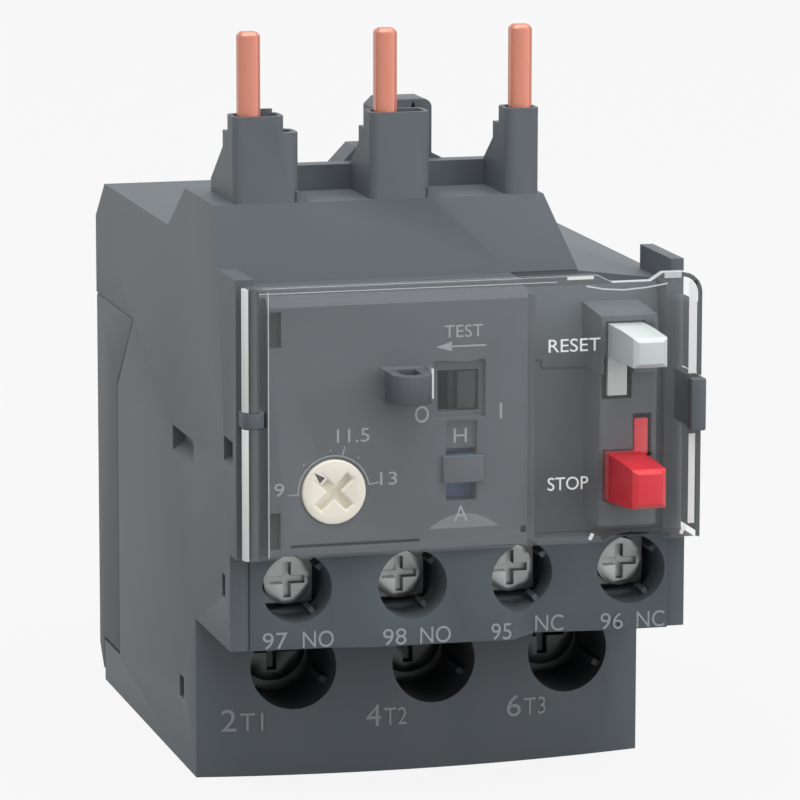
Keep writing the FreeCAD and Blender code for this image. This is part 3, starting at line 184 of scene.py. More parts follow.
# Glass-filled polyamide from a spark-eroded mould, which scatters most of its gloss.
DULL = 0.12
HOUSING = Finish("polyamide_grey_moulded", "60666B", 0.5, gloss=DULL)
REAR = Finish("polyamide_grey_rear_moulded", "5E6469", 0.5, gloss=DULL)
BLOCK = Finish("polyamide_grey_block_moulded", "596166", 0.5, gloss=DULL)
PLATE = Finish("polyamide_grey_plate_moulded", "5E6267", 0.55, gloss=DULL)
PANEL = Finish("polyamide_grey_panel_moulded", "5E6469", 0.55, gloss=DULL)
# Painted shade: a dark grey for the walls of the deep power holes and the ribs in them.
BORE_SHADE = Finish("polyamide_grey_bore_painted_shade", "303437", 0.7)
LATCH = Finish("polyamide_dark_moulded", "525A5E", 0.55)
INNER = Finish("polyamide_black_moulded", "2A2C2E", 0.6)
# Clear polycarbonate from a polished mould: the sheet and its sides, then painted shade and painted
# highlights for its edges, from dark to bright.
CLEAR = Finish("polycarbonate_clear_polished", "EDF1F3", 0.08, Surface.GLOSSY, ior=1.45,
               alpha=0.04)
CLEAR_SIDE = Finish("polycarbonate_clear_side", "DDE3E6", 0.2, Surface.GLOSSY, alpha=0.06,
                    gloss=0.25)
CLEAR_DARK_SHADE = Finish("polycarbonate_clear_edge_painted_dark_shade", "3C4144", 0.2, Surface.GLOSSY, alpha=0.7)
CLEAR_GREY_SHADE = Finish("polycarbonate_clear_edge_painted_grey_shade", "62696A", 0.35, Surface.GLOSSY, alpha=0.95,
                   gloss=0.2)
CLEAR_THIN_HIGHLIGHT = Finish("polycarbonate_clear_thin_painted_highlight", "E8ECEE", 0.3, Surface.GLOSSY, alpha=0.6)
CLEAR_EDGE_HIGHLIGHT = Finish("polycarbonate_clear_edge_painted_highlight", "F4F6F6", 0.3, Surface.GLOSSY, alpha=0.85)
WHITE = plastic("abs_white_moulded", "CAD2D1", 0.4)
RED = plastic("abs_red_moulded", "DC303C", 0.38)
IVORY = plastic("abs_ivory_moulded", "F6F1E2", 0.45)
BLUE = plastic("abs_blue_moulded", "41608C", 0.5)
ACETAL = plastic("acetal_white_moulded", "D8D8D4", 0.45)
COPPER = metal("copper_drawn_bright", "CE8673", 0.42, 0.25, 0.06, metallic=0.55)
TINNED = metal("copper_tinned", "B3B0A8", 0.4, 0.25, 0.06)
SILVERED = metal("copper_silver_plated", "C8C5BD", 0.3, 0.25)
NICKEL = metal("steel_nickel_plated", "8E9190", 0.28)
DULL_NICKEL = metal("steel_nickel_plated_dull", "4A4D4D", 0.4)
ZINC = metal("steel_zinc_plated", "9EA1A3", 0.4, relief=0.06)
SPRING = metal("spring_steel_drawn", "8E9092", 0.35, 0.2, 0.04)
BIMETAL = metal("bimetal_rolled", "A7A39A", 0.42, 0.2)
HEATER = metal("resistance_alloy_dull", "8A7F74", 0.5, 0.2, 0.06)
SLEEVE = Finish("glass_sleeve_woven", "C9BFA6", 0.8, grain_mm=0.35, relief=0.3)
FIBRE = Finish("laminated_sheet", "A9825C", 0.6, grain_mm=0.4, relief=0.1)
INK_WHITE = Finish("ink_white_printed", "F2F4F4", 0.5, Surface.PRINTED)
INK_GREY = Finish("ink_grey_printed", "9CA2A6", 0.55, Surface.PRINTED)
INK_MARK = Finish("ink_mid_grey_printed", "92989C", 0.55, Surface.PRINTED)
INK_DIM = Finish("ink_dim_printed", "858B8F", 0.55, Surface.PRINTED)
INK_DARK = Finish("ink_dark_printed", "35393B", 0.55, Surface.PRINTED)
# Painted shade and painted light for the dished ends of the finger scoops, drawn as flat patches;
# they are not ink, though they share the printed surface's settings.
SCOOP_PAINTED_SHADE = Finish("plate_scoop_painted_shade", "53575B", 0.55, Surface.PRINTED)
SCOOP_PAINTED_LIGHT = Finish("plate_scoop_painted_light", "757B80", 0.55, Surface.PRINTED)


# ---------------------------------------------------------------------------
# Pieces and their bodies
# ---------------------------------------------------------------------------
def finish_mesh(name: str, shape: bmesh.types.BMesh, finish: Finish) -> bpy.types.Object:
    """Make an object at the origin from a bmesh and give it its finish.

    Args:
        name: piece name.
        shape: the mesh, in row coordinates; it is freed.
        finish: what it is made of.

    Returns:
        The new object.
    """
    mesh = bpy.data.meshes.new(name)
    bmesh.ops.recalc_face_normals(shape, faces=shape.faces)
    shape.to_mesh(mesh)
    shape.free()
    mesh.materials.append(finish.material())
    made = bpy.data.objects.new(name, mesh)
    bpy.context.scene.collection.objects.link(made)
    return made


def baked(piece: bpy.types.Object) -> bpy.types.Object:
    """Apply every modifier of a piece.

    Args:
        piece: an object at the origin.

    Returns:
        The same object with a plain mesh.
    """
    bpy.context.view_layer.update()
    graph = bpy.context.evaluated_depsgraph_get()
    mesh = bpy.data.meshes.new_from_object(piece.evaluated_get(graph))
    old = piece.data
    piece.modifiers.clear()
    piece.data = mesh
    bpy.data.meshes.remove(old)
    return piece


def node_mesh(node: str) -> bmesh.types.BMesh:
    """Copy a CAD node's mesh with its doubled corners joined.

    Args:
        node: CAD node.

    Returns:
        A new bmesh.
    """
    shape = bmesh.new()
    shape.from_mesh(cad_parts[node].data)
    bmesh.ops.remove_doubles(shape, verts=shape.verts, dist=WELD)
    return shape


def softened(node: str, name: str, finish: Finish, radius_mm: float,
             segments: int = 2) -> bpy.types.Object:
    """Copy a CAD node with its edges rounded as the mould leaves them.

    Args:
        node: CAD node.
        name: name of the new piece.
        finish: what it is made of.
        radius_mm: edge radius.
        segments: faces across each rounded edge.

    Returns:
        The new object, at the origin.
    """
    shape = node_mesh(node)
    bmesh.ops.dissolve_limit(shape, angle_limit=FLAT, verts=shape.verts, edges=shape.edges)
    piece = finish_mesh(name, shape, finish)
    bevel = piece.modifiers.new("rounding", "BEVEL")
    bevel.width = radius_mm * MM
    bevel.segments = segments
    bevel.limit_method = "ANGLE"
    bevel.angle_limit = ROUNDED
    bevel.use_clamp_overlap = True
    bevel.harden_normals = True
    for polygon in piece.data.polygons:
        polygon.use_smooth = True
    return baked(piece)


def dress(finish: Finish, *nodes: str) -> None:
    """Give CAD nodes their finish.

    Args:
        finish: what they are made of.
        nodes: CAD nodes.
    """
    for node in nodes:
        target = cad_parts[node]
        target.data.materials.clear()
        target.data.materials.append(finish.material())


def stand_for(piece: bpy.types.Object, node: str, body: str) -> None:
    """Let a piece take a CAD node's place.

    Args:
        piece: the new piece.
        node: the node it replaces.
        body: the body that it moves with.
    """
    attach(piece, body)
    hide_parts(node)
    LOG.info("%s stands for %s", piece.name, node)


def add_to(piece: bpy.types.Object, body: str) -> None:
    """Let a new piece move with a body.

    Args:
        piece: the new piece.
        body: the body that it moves with.
    """
    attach(piece, body)
    LOG.info("%s added", piece.name)


# ---------------------------------------------------------------------------
# Shapes drawn on a face that looks forward
# ---------------------------------------------------------------------------
def slab(shape: bmesh.types.BMesh, low: Point, high: Point) -> None:
    """Add a block to a bmesh.

    Args:
        shape: the mesh it is added to.
        low: its lowest corner, in metres.
        high: its highest corner, in metres.
    """
    size = [b - a for a, b in zip(low, high)]
    middle = [(a + b) / 2 for a, b in zip(low, high)]
    bmesh.ops.create_cube(
        shape, size=1.0, matrix=Matrix.Translation(middle) @ Matrix.Diagonal((*size, 1.0)))


def plaque(shape: bmesh.types.BMesh, corners: list[Vector], thick: float) -> None:
    """Add a thin plate with an upright outline.

    Args:
        shape: the mesh it is added to.
        corners: its front outline, in metres.
        thick: how far back it reaches, in metres.
    """
    front = [shape.verts.new(corner) for corner in corners]
    rear = [shape.verts.new(corner + Vector((0.0, thick, 0.0))) for corner in corners]
    shape.faces.new(front)
    shape.faces.new(rear[::-1])
    for index in range(len(corners)):
        after = (index + 1) % len(corners)
        shape.faces.new((front[index], rear[index], rear[after], front[after]))


def strip(shape: bmesh.types.BMesh, line: Line, width: float, depth: float) -> None:
    """Add a thin raised line.

    Args:
        shape: the mesh it is added to.
        line: its corners, across and up, in millimetres.
        width: its width in millimetres.
        depth: the face's depth in metres.
    """
    off = Vector((0.0, depth - RAISED, 0.0))
    for start, end in zip(line, line[1:]):
        first, last = Vector((start[0], 0.0, start[1])), Vector((end[0], 0.0, end[1]))
        along = (last - first).normalized()
        aside = Vector((-along.z, 0.0, along.x)) * width / 2
        corners = (first - aside, last - aside, last + aside, first + aside)
        plaque(shape, [corner * MM + off for corner in corners], RAISED)


def on_circle(middle: tuple[float, float], radius: float, degrees: float, depth: float) -> Place:
    """Find where a block stands on a circle in the front's plane.

    Args:
        middle: the circle's middle, across and up, in millimetres.
        radius: the circle's radius in millimetres.
        degrees: how far round it stands, from +X towards +Z.
        depth: its depth in metres.

    Returns:
        Its place in metres, and its turn about X, Y and Z in radians.
    """
    angle = math.radians(degrees)
    across = (middle[0] + radius * math.cos(angle)) * MM
    height = (middle[1] + radius * math.sin(angle)) * MM
    return (across, depth, height), (0.0, -angle, 0.0)


def rounded_corner(middle: tuple[float, float], radius: float) -> Line:
    """Quarter circle from +X to +Z, in steps of 15 degrees."""
    return tuple((middle[0] + radius * math.cos(math.radians(angle)),
                  middle[1] + radius * math.sin(math.radians(angle))) for angle in range(0, 91, 15))


@dataclass(frozen=True)
class Word:
    """One printed or raised word, in the front's plane."""

    text: str
    left: float
    low: float
    width: float
    height: float
    depth: float          # metres, where the letters stand
    turn: float = 0.0     # degrees about +Z, for a face that curves away


class Lettering:
    """Draws words as thin meshes fitted to their size."""

    THICK = 0.03 * MM
    CURVE_STEPS = 6

    def word_mesh(self, word: Word) -> bpy.types.Mesh:
        """Make one word's mesh in its place.

        Args:
            word: the word.

        Returns:
            A mesh in row coordinates.
        """
        curve = bpy.data.curves.new("word", "FONT")
        curve.body = word.text
        curve.extrude = self.THICK
        curve.resolution_u = self.CURVE_STEPS
        holder = bpy.data.objects.new("word", curve)
        bpy.context.scene.collection.objects.link(holder)
        bpy.context.view_layer.update()
        mesh = bpy.data.meshes.new_from_object(
            holder.evaluated_get(bpy.context.evaluated_depsgraph_get()))
        bpy.data.objects.remove(holder)
        bpy.data.curves.remove(curve)
        xs = [v.co.x for v in mesh.vertices]
        ys = [v.co.y for v in mesh.vertices]
        wide, tall = max(xs) - min(xs), max(ys) - min(ys)
        mesh.transform(Matrix.Translation((-min(xs), -min(ys), 0.0)))
        mesh.transform(Matrix.Diagonal((word.width * MM / wide, word.height * MM / tall, 1.0, 1.0)))
        mesh.transform(Matrix.Rotation(math.radians(90), 4, "X"))
        mesh.transform(Matrix.Rotation(math.radians(word.turn), 4, "Z"))
        mesh.transform(Matrix.Translation((word.left * MM, word.depth, word.low * MM)))
        return mesh

    def draw(self, name: str, words: list[Word], finish: Finish, body: str) -> None:
        """Join words into one piece.

        Args:
            name: piece name.
            words: what it says.
            finish: the ink.
            body: the body it is printed on.
        """
        shape = bmesh.new()
        for word in words:
            mesh = self.word_mesh(word)
            shape.from_mesh(mesh)
            bpy.data.meshes.remove(mesh)
        add_to(finish_mesh(name, shape, finish), body)


# ---------------------------------------------------------------------------
# Geometry Nodes: one block repeated at listed places
# ---------------------------------------------------------------------------
class Repeat:
    """Places one block at each vertex of a guide, turned by the vertex's own angles."""

    @staticmethod
    def tree(finish: Finish) -> bpy.types.NodeTree:
        """Build the node tree, with the block's size as a named input.

        Args:
            finish: what the blocks are made of.

        Returns:
            The tree.
        """
        tree = bpy.data.node_groups.new("repeat_block_" + finish.name, "GeometryNodeTree")
        face = tree.interface
        face.new_socket("Geometry", in_out="INPUT", socket_type="NodeSocketGeometry")
        face.new_socket("Block Size", in_out="INPUT", socket_type="NodeSocketVector")
        face.new_socket("Geometry", in_out="OUTPUT", socket_type="NodeSocketGeometry")
        given = add_node(tree, "NodeGroupInput")
        block = add_node(tree, "GeometryNodeMeshCube", inputs={
            "Size": given.outputs["Block Size"]})
        turn = add_node(tree, "GeometryNodeInputNamedAttribute", {"data_type": "FLOAT_VECTOR"},
                        {"Name": "turn"})
        placed = add_node(tree, "GeometryNodeInstanceOnPoints", inputs={
            "Points": given.outputs["Geometry"], "Instance": block.outputs["Mesh"],
            "Rotation": turn.outputs["Attribute"]})
        real = add_node(tree, "GeometryNodeRealizeInstances", inputs={
            "Geometry": placed.outputs["Instances"]})
        painted = add_node(tree, "GeometryNodeSetMaterial", inputs={
            "Geometry": real.outputs["Geometry"], "Material": finish.material()})
        add_node(tree, "NodeGroupOutput", inputs={"Geometry": painted.outputs["Geometry"]})
        return tree

    @classmethod
    def blocks(cls, name: str, size_mm: Point, places: list[Place],
               finish: Finish) -> bpy.types.Object:
        """Make the repeated blocks as one plain mesh.

        Args:
            name: piece name.
            size_mm: block size.
            places: middle of each block in metres, and its turn about X, Y and Z in radians.
            finish: what it is made of.

        Returns:
            The new object, at the origin.
        """
        mesh = bpy.data.meshes.new(name)
        mesh.from_pydata([place for place, _ in places], [], [])
        turns = mesh.attributes.new("turn", "FLOAT_VECTOR", "POINT")
        turns.data.foreach_set("vector", [angle for _, turn in places for angle in turn])
        piece = bpy.data.objects.new(name, mesh)
        bpy.context.scene.collection.objects.link(piece)
        tree = cls.tree(finish)
        modifier = piece.modifiers.new("repeat", "NODES")
        sockets = {item.name: item.identifier for item in tree.interface.items_tree
                   if item.in_out == "INPUT"}
        modifier.node_group = tree
        modifier[sockets["Block Size"]] = tuple(side * MM for side in size_mm)
        return baked(piece)


# ---------------------------------------------------------------------------
# Sub-assemblies; sizes are in millimetres and depths in metres, unless a name says otherwise
# ---------------------------------------------------------------------------
@dataclass
class PowerTerminals:
    """Three power poles: screws, clamps, ribs in the access holes, and their marks."""

    screw_edge: float = 0.25
    pitch: float = 14.0
    middle: float = 0.95
    height: float = 10.8
    hole_radius: float = 4.2
    hole_edge: float = 0.15       # the painted shade of the hole's wall reaches over its rounded edge
    hole_end: float = back(12.0)
    rib_size: Point = (0.8, 6.0, 0.6)
    rib_angles: tuple[float, ...] = (62, -28)
    rib_sunk: float = 0.35
    rib_depth: float = back(3.2)
    bow_radius: float = 116.2     # the face's own curve
    bow_depth: float = 2.2
    # Lower edge, width and height of a mark's first digit, and of what follows it.
    digit: Point = (4.55, 1.5, 2.2)
    rest: Point = (4.6, 2.3, 1.75)
    rest_after: float = 1.8
    # Left edge, first digit, and what follows it.
    marks: tuple[tuple[float, str, str], ...] = (
        (-20.1, "2", "T1"), (-5.9, "4", "T2"), (8.5, "6", "T3"))

    def poles(self) -> list[float]:
        """Places across of the three poles, in millimetres."""
        return [self.middle + pole * self.pitch for pole in (-1, 0, 1)]

    def in_bore(self, place: Vector) -> bool:
        """Tell whether a place is on or within a power access hole.

        Args:
            place: in metres.

        Returns:
            True inside a hole.
        """
        if not back(0.0) < place.y < self.hole_end:
            return False
        across = min(abs(place.x / MM - pole) for pole in self.poles())
        out = math.hypot(across, place.z / MM - self.height)
        return out < self.hole_radius + self.hole_edge

    def face(self, x: float) -> float:
        """Depth of the curved front at a place across, in metres."""
        return back(x * x / (2 * self.bow_radius) - self.bow_depth) - RAISED

    def ribs(self) -> None:
        """Guide ribs at two places round each access hole."""
        places = [on_circle((x, self.height), self.hole_radius - self.rib_sunk, angle,
                            self.rib_depth) for x in self.poles() for angle in self.rib_angles]
        # The ribs take the holes' painted shade.
        ribs = Repeat.blocks("power_access_ribs", self.rib_size, places, BORE_SHADE)
        add_to(ribs, "housing")

    def print_marks(self) -> None:
        """Terminal marks, raised on the curved face."""
        words = []
        for left, digit, rest in self.marks:
            turn = math.degrees(math.atan(left / self.bow_radius))
            after = left + self.rest_after
            words.append(Word(digit, left, *self.digit, self.face(left), turn))
            words.append(Word(rest, after, *self.rest, self.face(after), turn))
        Lettering().draw("power_terminal_marks", words, INK_DIM, "housing")

    def build(self) -> None:
        """Dress the screws and clamps and add the ribs and marks."""
        screws = softened("power_terminal_screws", "power_screws", DULL_NICKEL,
                          self.screw_edge)
        stand_for(screws, "power_terminal_screws", "housing")
        dress(ZINC, "power_clamps", "power_nuts")
        self.ribs()
        self.print_marks()


@dataclass
class Housing:
    """The two large mouldings."""

    edge: float = 0.35
    rear_edge: float = 0.25

    def build(self) -> None:
        """Dress the main housing, with painted shade in its deep power holes, and the rear cover.
        """
        body = softened("main_housing", "housing_moulding", HOUSING, self.edge, FINE)
        body.data.materials.append(BORE_SHADE.material())
        power = PowerTerminals()
        # Faces in and round the power holes get the painted shade.
        for polygon in body.data.polygons:
            if power.in_bore(polygon.center):
                polygon.material_index = 1
        stand_for(body, "main_housing", "housing")
        rear = softened("rear_cover", "rear_moulding", REAR, self.rear_edge)
        stand_for(rear, "rear_cover", "housing")


@dataclass
class ControlTerminals:
    """Four control terminals in their stepped block."""

    edge: float = 0.3
    pitch: float = 11.05
    middle: float = 0.45
    height: float = 21.8
    hole_radius: float = 3.35
    rib_size: Point = (0.8, 2.4, 0.5)
    rib_angles: tuple[float, ...] = (35, -55)
    rib_sunk: float = 0.2
    rib_depth: float = back(-12.8)
    # Corners of the stepped front: across, and back from the power terminal face.
    line: Line = ((-20.6, -14.9), (-12.6, -15.4), (-9.0, -16.2), (0.7, -16.4),
                  (4.6, -16.8), (7.6, -14.1), (14.3, -15.0), (20.6, -15.2))
    mark_low: float = 16.0
    mark_height: float = 1.6
    # Text, left edge and width.
    marks: tuple[tuple[str, float, float], ...] = (
        ("97", -19.45, 2.4), ("NO", -15.6, 3.0), ("98", -8.0, 2.3), ("NO", -4.35, 3.0),
        ("95", 2.6, 1.95), ("NC", 7.7, 2.75), ("96", 14.0, 2.2), ("NC", 17.6, 2.8))

    def face(self, x: float) -> tuple[float, float]:
        """Find the block's front at a place across.

        Args:
            x: place across, in millimetres.

        Returns:
            Depth in metres, and turn in degrees.
        """
        for (x0, y0), (x1, y1) in zip(self.line, self.line[1:]):
            if x0 <= x <= x1:
                slope = (y1 - y0) / (x1 - x0)
                return back(y0 + slope * (x - x0)) - RAISED, math.degrees(math.atan(slope))
        raise ValueError("outside the block")

    def ribs(self) -> None:
        """Two short ribs in each access hole."""
        middles = [self.middle + (index - 1.5) * self.pitch for index in range(4)]
        places = [on_circle((x, self.height), self.hole_radius - self.rib_sunk, angle,
                            self.rib_depth) for x in middles for angle in self.rib_angles]
        ribs = Repeat.blocks("control_access_ribs", self.rib_size, places, BLOCK)
        add_to(ribs, "housing")

    def build(self) -> None:
        """Dress the block, its screws and its fixed contacts."""
        block = softened("control_terminal_block", "control_block", BLOCK, self.edge, FINE)
        stand_for(block, "control_terminal_block", "housing")
        screws = softened("control_terminal_screws", "control_screws", NICKEL, self.edge, FINE)
        stand_for(screws, "control_terminal_screws", "housing")
        dress(ZINC, "control_clamps")
        dress(SILVERED, *["contact_strip_%d" % number for number in (95, 96, 97, 98)])
        self.ribs()
        words = []
        for text, left, width in self.marks:
            depth, turn = self.face(left)
            words.append(Word(text, left, self.mark_low, width, self.mark_height, depth, turn))
        Lettering().draw("control_terminal_marks", words, INK_MARK, "housing")


@dataclass
class DialPlate:
    """Front plate with its scale, marks and the moving pieces in its windows."""

    plate_edge: float = 0.2
    knob_edge: float = 0.12
    slider_edge: float = 0.2
    dial_edge: float = 0.25
    face: float = back(-17.0)
    dial: tuple[float, float] = (-13.0, 31.3)
    scale_radius: float = 3.45
    scale_start_degrees: float = 182
    scale_step_degrees: float = 5
    scale_steps: int = 35
    scale_block: Point = (0.11, 0.06, 0.31)
    tick_block: Point = (0.5, 0.06, 0.11)
    tick_parts: tuple[float, float] = (0.25, 0.75)    # a tick is two blocks end to end
    # Degrees round the dial, and length.
    ticks: Line = ((182, 0.95), (137, 0.5), (95, 0.5), (76, 0.95), (53, 0.5), (9, 0.95))
    # Text, left edge, lower edge, width, height and how far behind the face it stands.
    numbers: tuple[tuple[str, float, float, float, float, float], ...] = (
        ("9", -18.75, 31.1, 0.95, 1.25, 0.0), ("11.5", -12.7, 35.95, 3.15, 1.3, 0.0),
        ("13", -8.5, 31.7, 1.65, 1.25, 0.0))
    signs: tuple[tuple[str, float, float, float, float, float], ...] = (
        ("TEST", -2.25, 45.5, 3.8, 1.2, 0.0), ("O", -5.1, 37.5, 1.35, 1.6, 0.0),
        ("I", 3.2, 37.55, 0.25, 1.5, 0.0), ("H", -1.2, 35.35, 1.3, 1.35, 0.4),
        ("A", -1.25, 27.85, 1.35, 1.5, 0.0))
    # Name, height of the straight side, how far the curved side rises from it, and finish: painted
    # shade above the test window, painted light below the selector.
    scoop_shapes: tuple[tuple[str, float, float, Finish], ...] = (
        ("scoop_shade_over_test", 44.25, -1.1, SCOOP_PAINTED_SHADE),
        ("scoop_light_under_selector", 27.2, 1.4, SCOOP_PAINTED_LIGHT))
    scoop_left: float = -3.8
    scoop_width: float = 7.0
    scoop_steps: int = 12
    sign_front: float = 0.03
    sign_rear: float = 0.05
    arrow_shaft: Line = ((-1.6, 44.58), (1.85, 44.75))
    arrow_tip: Line = ((-3.05, 44.66), (-1.5, 44.2), (-1.5, 45.12))
    pointer_degrees: float = 135
    pointer_rise: float = 0.31
    pointer_tip: float = 2.77
    pointer_root: float = 1.66
    pointer_half: float = 0.36
    seat_low: Point = (1.45, -0.3, -0.45)
    seat_high: Point = (2.3, 0.3, 0.45)

    def scale(self) -> None:
        """Curved scale line with its ticks, and three plain numbers."""
        depth = self.face - RAISED / 2
        line = [on_circle(self.dial, self.scale_radius,
                          self.scale_start_degrees - self.scale_step_degrees * step, depth)
                for step in range(self.scale_steps)]
        ticks = [on_circle(self.dial, self.scale_radius + reach * part, angle, depth)
                 for angle, reach in self.ticks for part in self.tick_parts]
        curve = Repeat.blocks("dial_scale_line", self.scale_block, line, INK_GREY)
        add_to(curve, "housing")
        marks = Repeat.blocks("dial_ticks", self.tick_block, ticks, INK_GREY)
        add_to(marks, "housing")
        self.print_words("dial_numbers", self.numbers)

    def print_words(self, name: str,
                    table: tuple[tuple[str, float, float, float, float, float], ...]) -> None:
        """Print a table of words on the plate.

        Args:
            name: piece name.
            table: text, left, low, width, height and how far behind the face each stands.
        """
        words = [Word(text, left, low, width, height, self.face + behind * MM)
                 for text, left, low, width, height, behind in table]
        Lettering().draw(name, words, INK_GREY, "housing")

    def scoops(self) -> None:
        """Painted shade and painted light for the shallow finger scoops above the test window and
        below the selector, as flat patches on the plate.
        """
        for name, level, rise, finish in self.scoop_shapes:
            shape = bmesh.new()
            front = []
            for step in range(self.scoop_steps + 1):
                part = step / self.scoop_steps
                across = self.scoop_left + self.scoop_width * part
                height = level + rise * 4 * part * (1 - part)
                front.append(shape.verts.new((across * MM, self.face - RAISED, height * MM)))
            shape.faces.new(front if rise > 0 else front[::-1])
            piece = finish_mesh(name, shape, finish)
            if piece.data.polygons[0].normal.y > 0:
                piece.data.flip_normals()
            add_to(piece, "housing")

    def arrow(self) -> None:
        """Arrow that points the way the test slide is pushed."""
        front, rear = self.face - self.sign_front * MM, self.face + self.sign_rear * MM
        (left, low), (right, high) = self.arrow_shaft
        shape = bmesh.new()
        slab(shape, (left * MM, front, low * MM), (right * MM, rear, high * MM))
        plaque(shape, [Vector((x * MM, front, z * MM)) for x, z in self.arrow_tip], rear - front)
        add_to(finish_mesh("test_arrow", shape, INK_GREY), "housing")

    def pointer(self) -> None:
        """Dark triangle that points to the setting, and the seat under it in the cross's arm."""
        way = math.radians(self.pointer_degrees)
        along = Vector((math.cos(way), 0.0, math.sin(way))) * MM
        across = Vector((-along.z, 0.0, along.x)) * self.pointer_half
        middle = Vector((self.dial[0] * MM, self.face - self.pointer_rise * MM, self.dial[1] * MM))
        root = middle + along * self.pointer_root
        shape = bmesh.new()
        plaque(shape, [middle + along * self.pointer_tip, root + across, root - across],
               self.sign_rear * MM)
        add_to(finish_mesh("dial_pointer", shape, INK_DARK), "dial")
        seat = bmesh.new()
        slab(seat, Vector(self.seat_low) * MM, Vector(self.seat_high) * MM)
        turned = (Matrix.Translation((middle.x, self.face, middle.z))
                  @ Matrix.Rotation(-way, 4, "Y"))
        bmesh.ops.transform(seat, matrix=turned, verts=seat.verts)
        add_to(finish_mesh("dial_pointer_seat", seat, IVORY), "dial")

    def build(self) -> None:
        """Dress the plate, the dial and the slides."""
        plate = softened("dial_plate", "front_plate", PLATE, self.plate_edge)
        stand_for(plate, "dial_plate", "housing")
        self.scale()
        self.print_words("plate_marks", self.signs)
        self.scoops()
        self.arrow()
        dress(BLUE, "mode_selector")
        knob = softened("selector_knob", "selector_finger_piece", PLATE, self.knob_edge)
        stand_for(knob, "selector_knob", "selector")
        slider = softened("test_slider", "test_slide_block", INNER, self.slider_edge)
        stand_for(slider, "test_slider", "test")
        dial = softened("adjustment_dial", "dial_head", IVORY, self.dial_edge, FINE)
        stand_for(dial, "adjustment_dial", "dial")
        self.pointer()
        dress(ACETAL, "dial_cam")
        dress(ZINC, "adjusting_lever")


@dataclass
class Buttons:
    """Recess panel, the two buttons and what they push."""

    panel_edge: float = 0.25
    cap_edge: float = 0.35
    floor: float = back(-12.6)
    travel: float = 2.0 * MM
    joint_width: float = 0.2
    joint: tuple[Line, ...] = (((6.3, 42.2), (8.6, 42.15), (8.6, 41.35), (12.9, 41.25)),
                               ((18.6, 41.5), (21.0, 41.2)))
    joint_end: Line = ((6.3, 42.1), (7.6, 42.6))

    def joint_line(self) -> None:
        """Dark gap line where the recess floor meets the upper moulding."""
        shape = bmesh.new()
        for line in self.joint:
            strip(shape, line, self.joint_width, self.floor)
        (left, low), (right, high) = self.joint_end
        slab(shape, (left * MM, self.floor - RAISED, low * MM), (right * MM, self.floor, high * MM))
        add_to(finish_mesh("panel_joint_line", shape, INK_DARK), "housing")

    def spring(self, side: str) -> None:
        """Return spring of a button.

        Args:
            side: which button, "reset" or "stop".
        """
        shape = node_mesh(side + "_spring")
        piece = finish_mesh(side + "_return_spring", shape, SPRING)
        stand_for(piece, side + "_spring", "housing")
        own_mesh(piece)

    def build(self) -> None:
        """Dress the panel and the buttons."""
        self.joint_line()
        panel = softened("button_panel", "recess_panel", PANEL, self.panel_edge)
        stand_for(panel, "button_panel", "housing")
        white = softened("reset_button", "reset_cap", WHITE, self.cap_edge, FINE)
        stand_for(white, "reset_button", "reset")
        red = softened("stop_button", "stop_cap", RED, self.cap_edge, FINE)
        stand_for(red, "stop_button", "stop")
        dress(ACETAL, "reset_plunger", "stop_plunger")
        for side in ("reset", "stop"):
            self.spring(side)


@dataclass(frozen=True)
class EdgeLines:
    """Lines of one finish along the sheet's edges: each a width and its corners."""

    name: str
    finish: Finish
    lines: tuple[tuple[float, Line], ...]


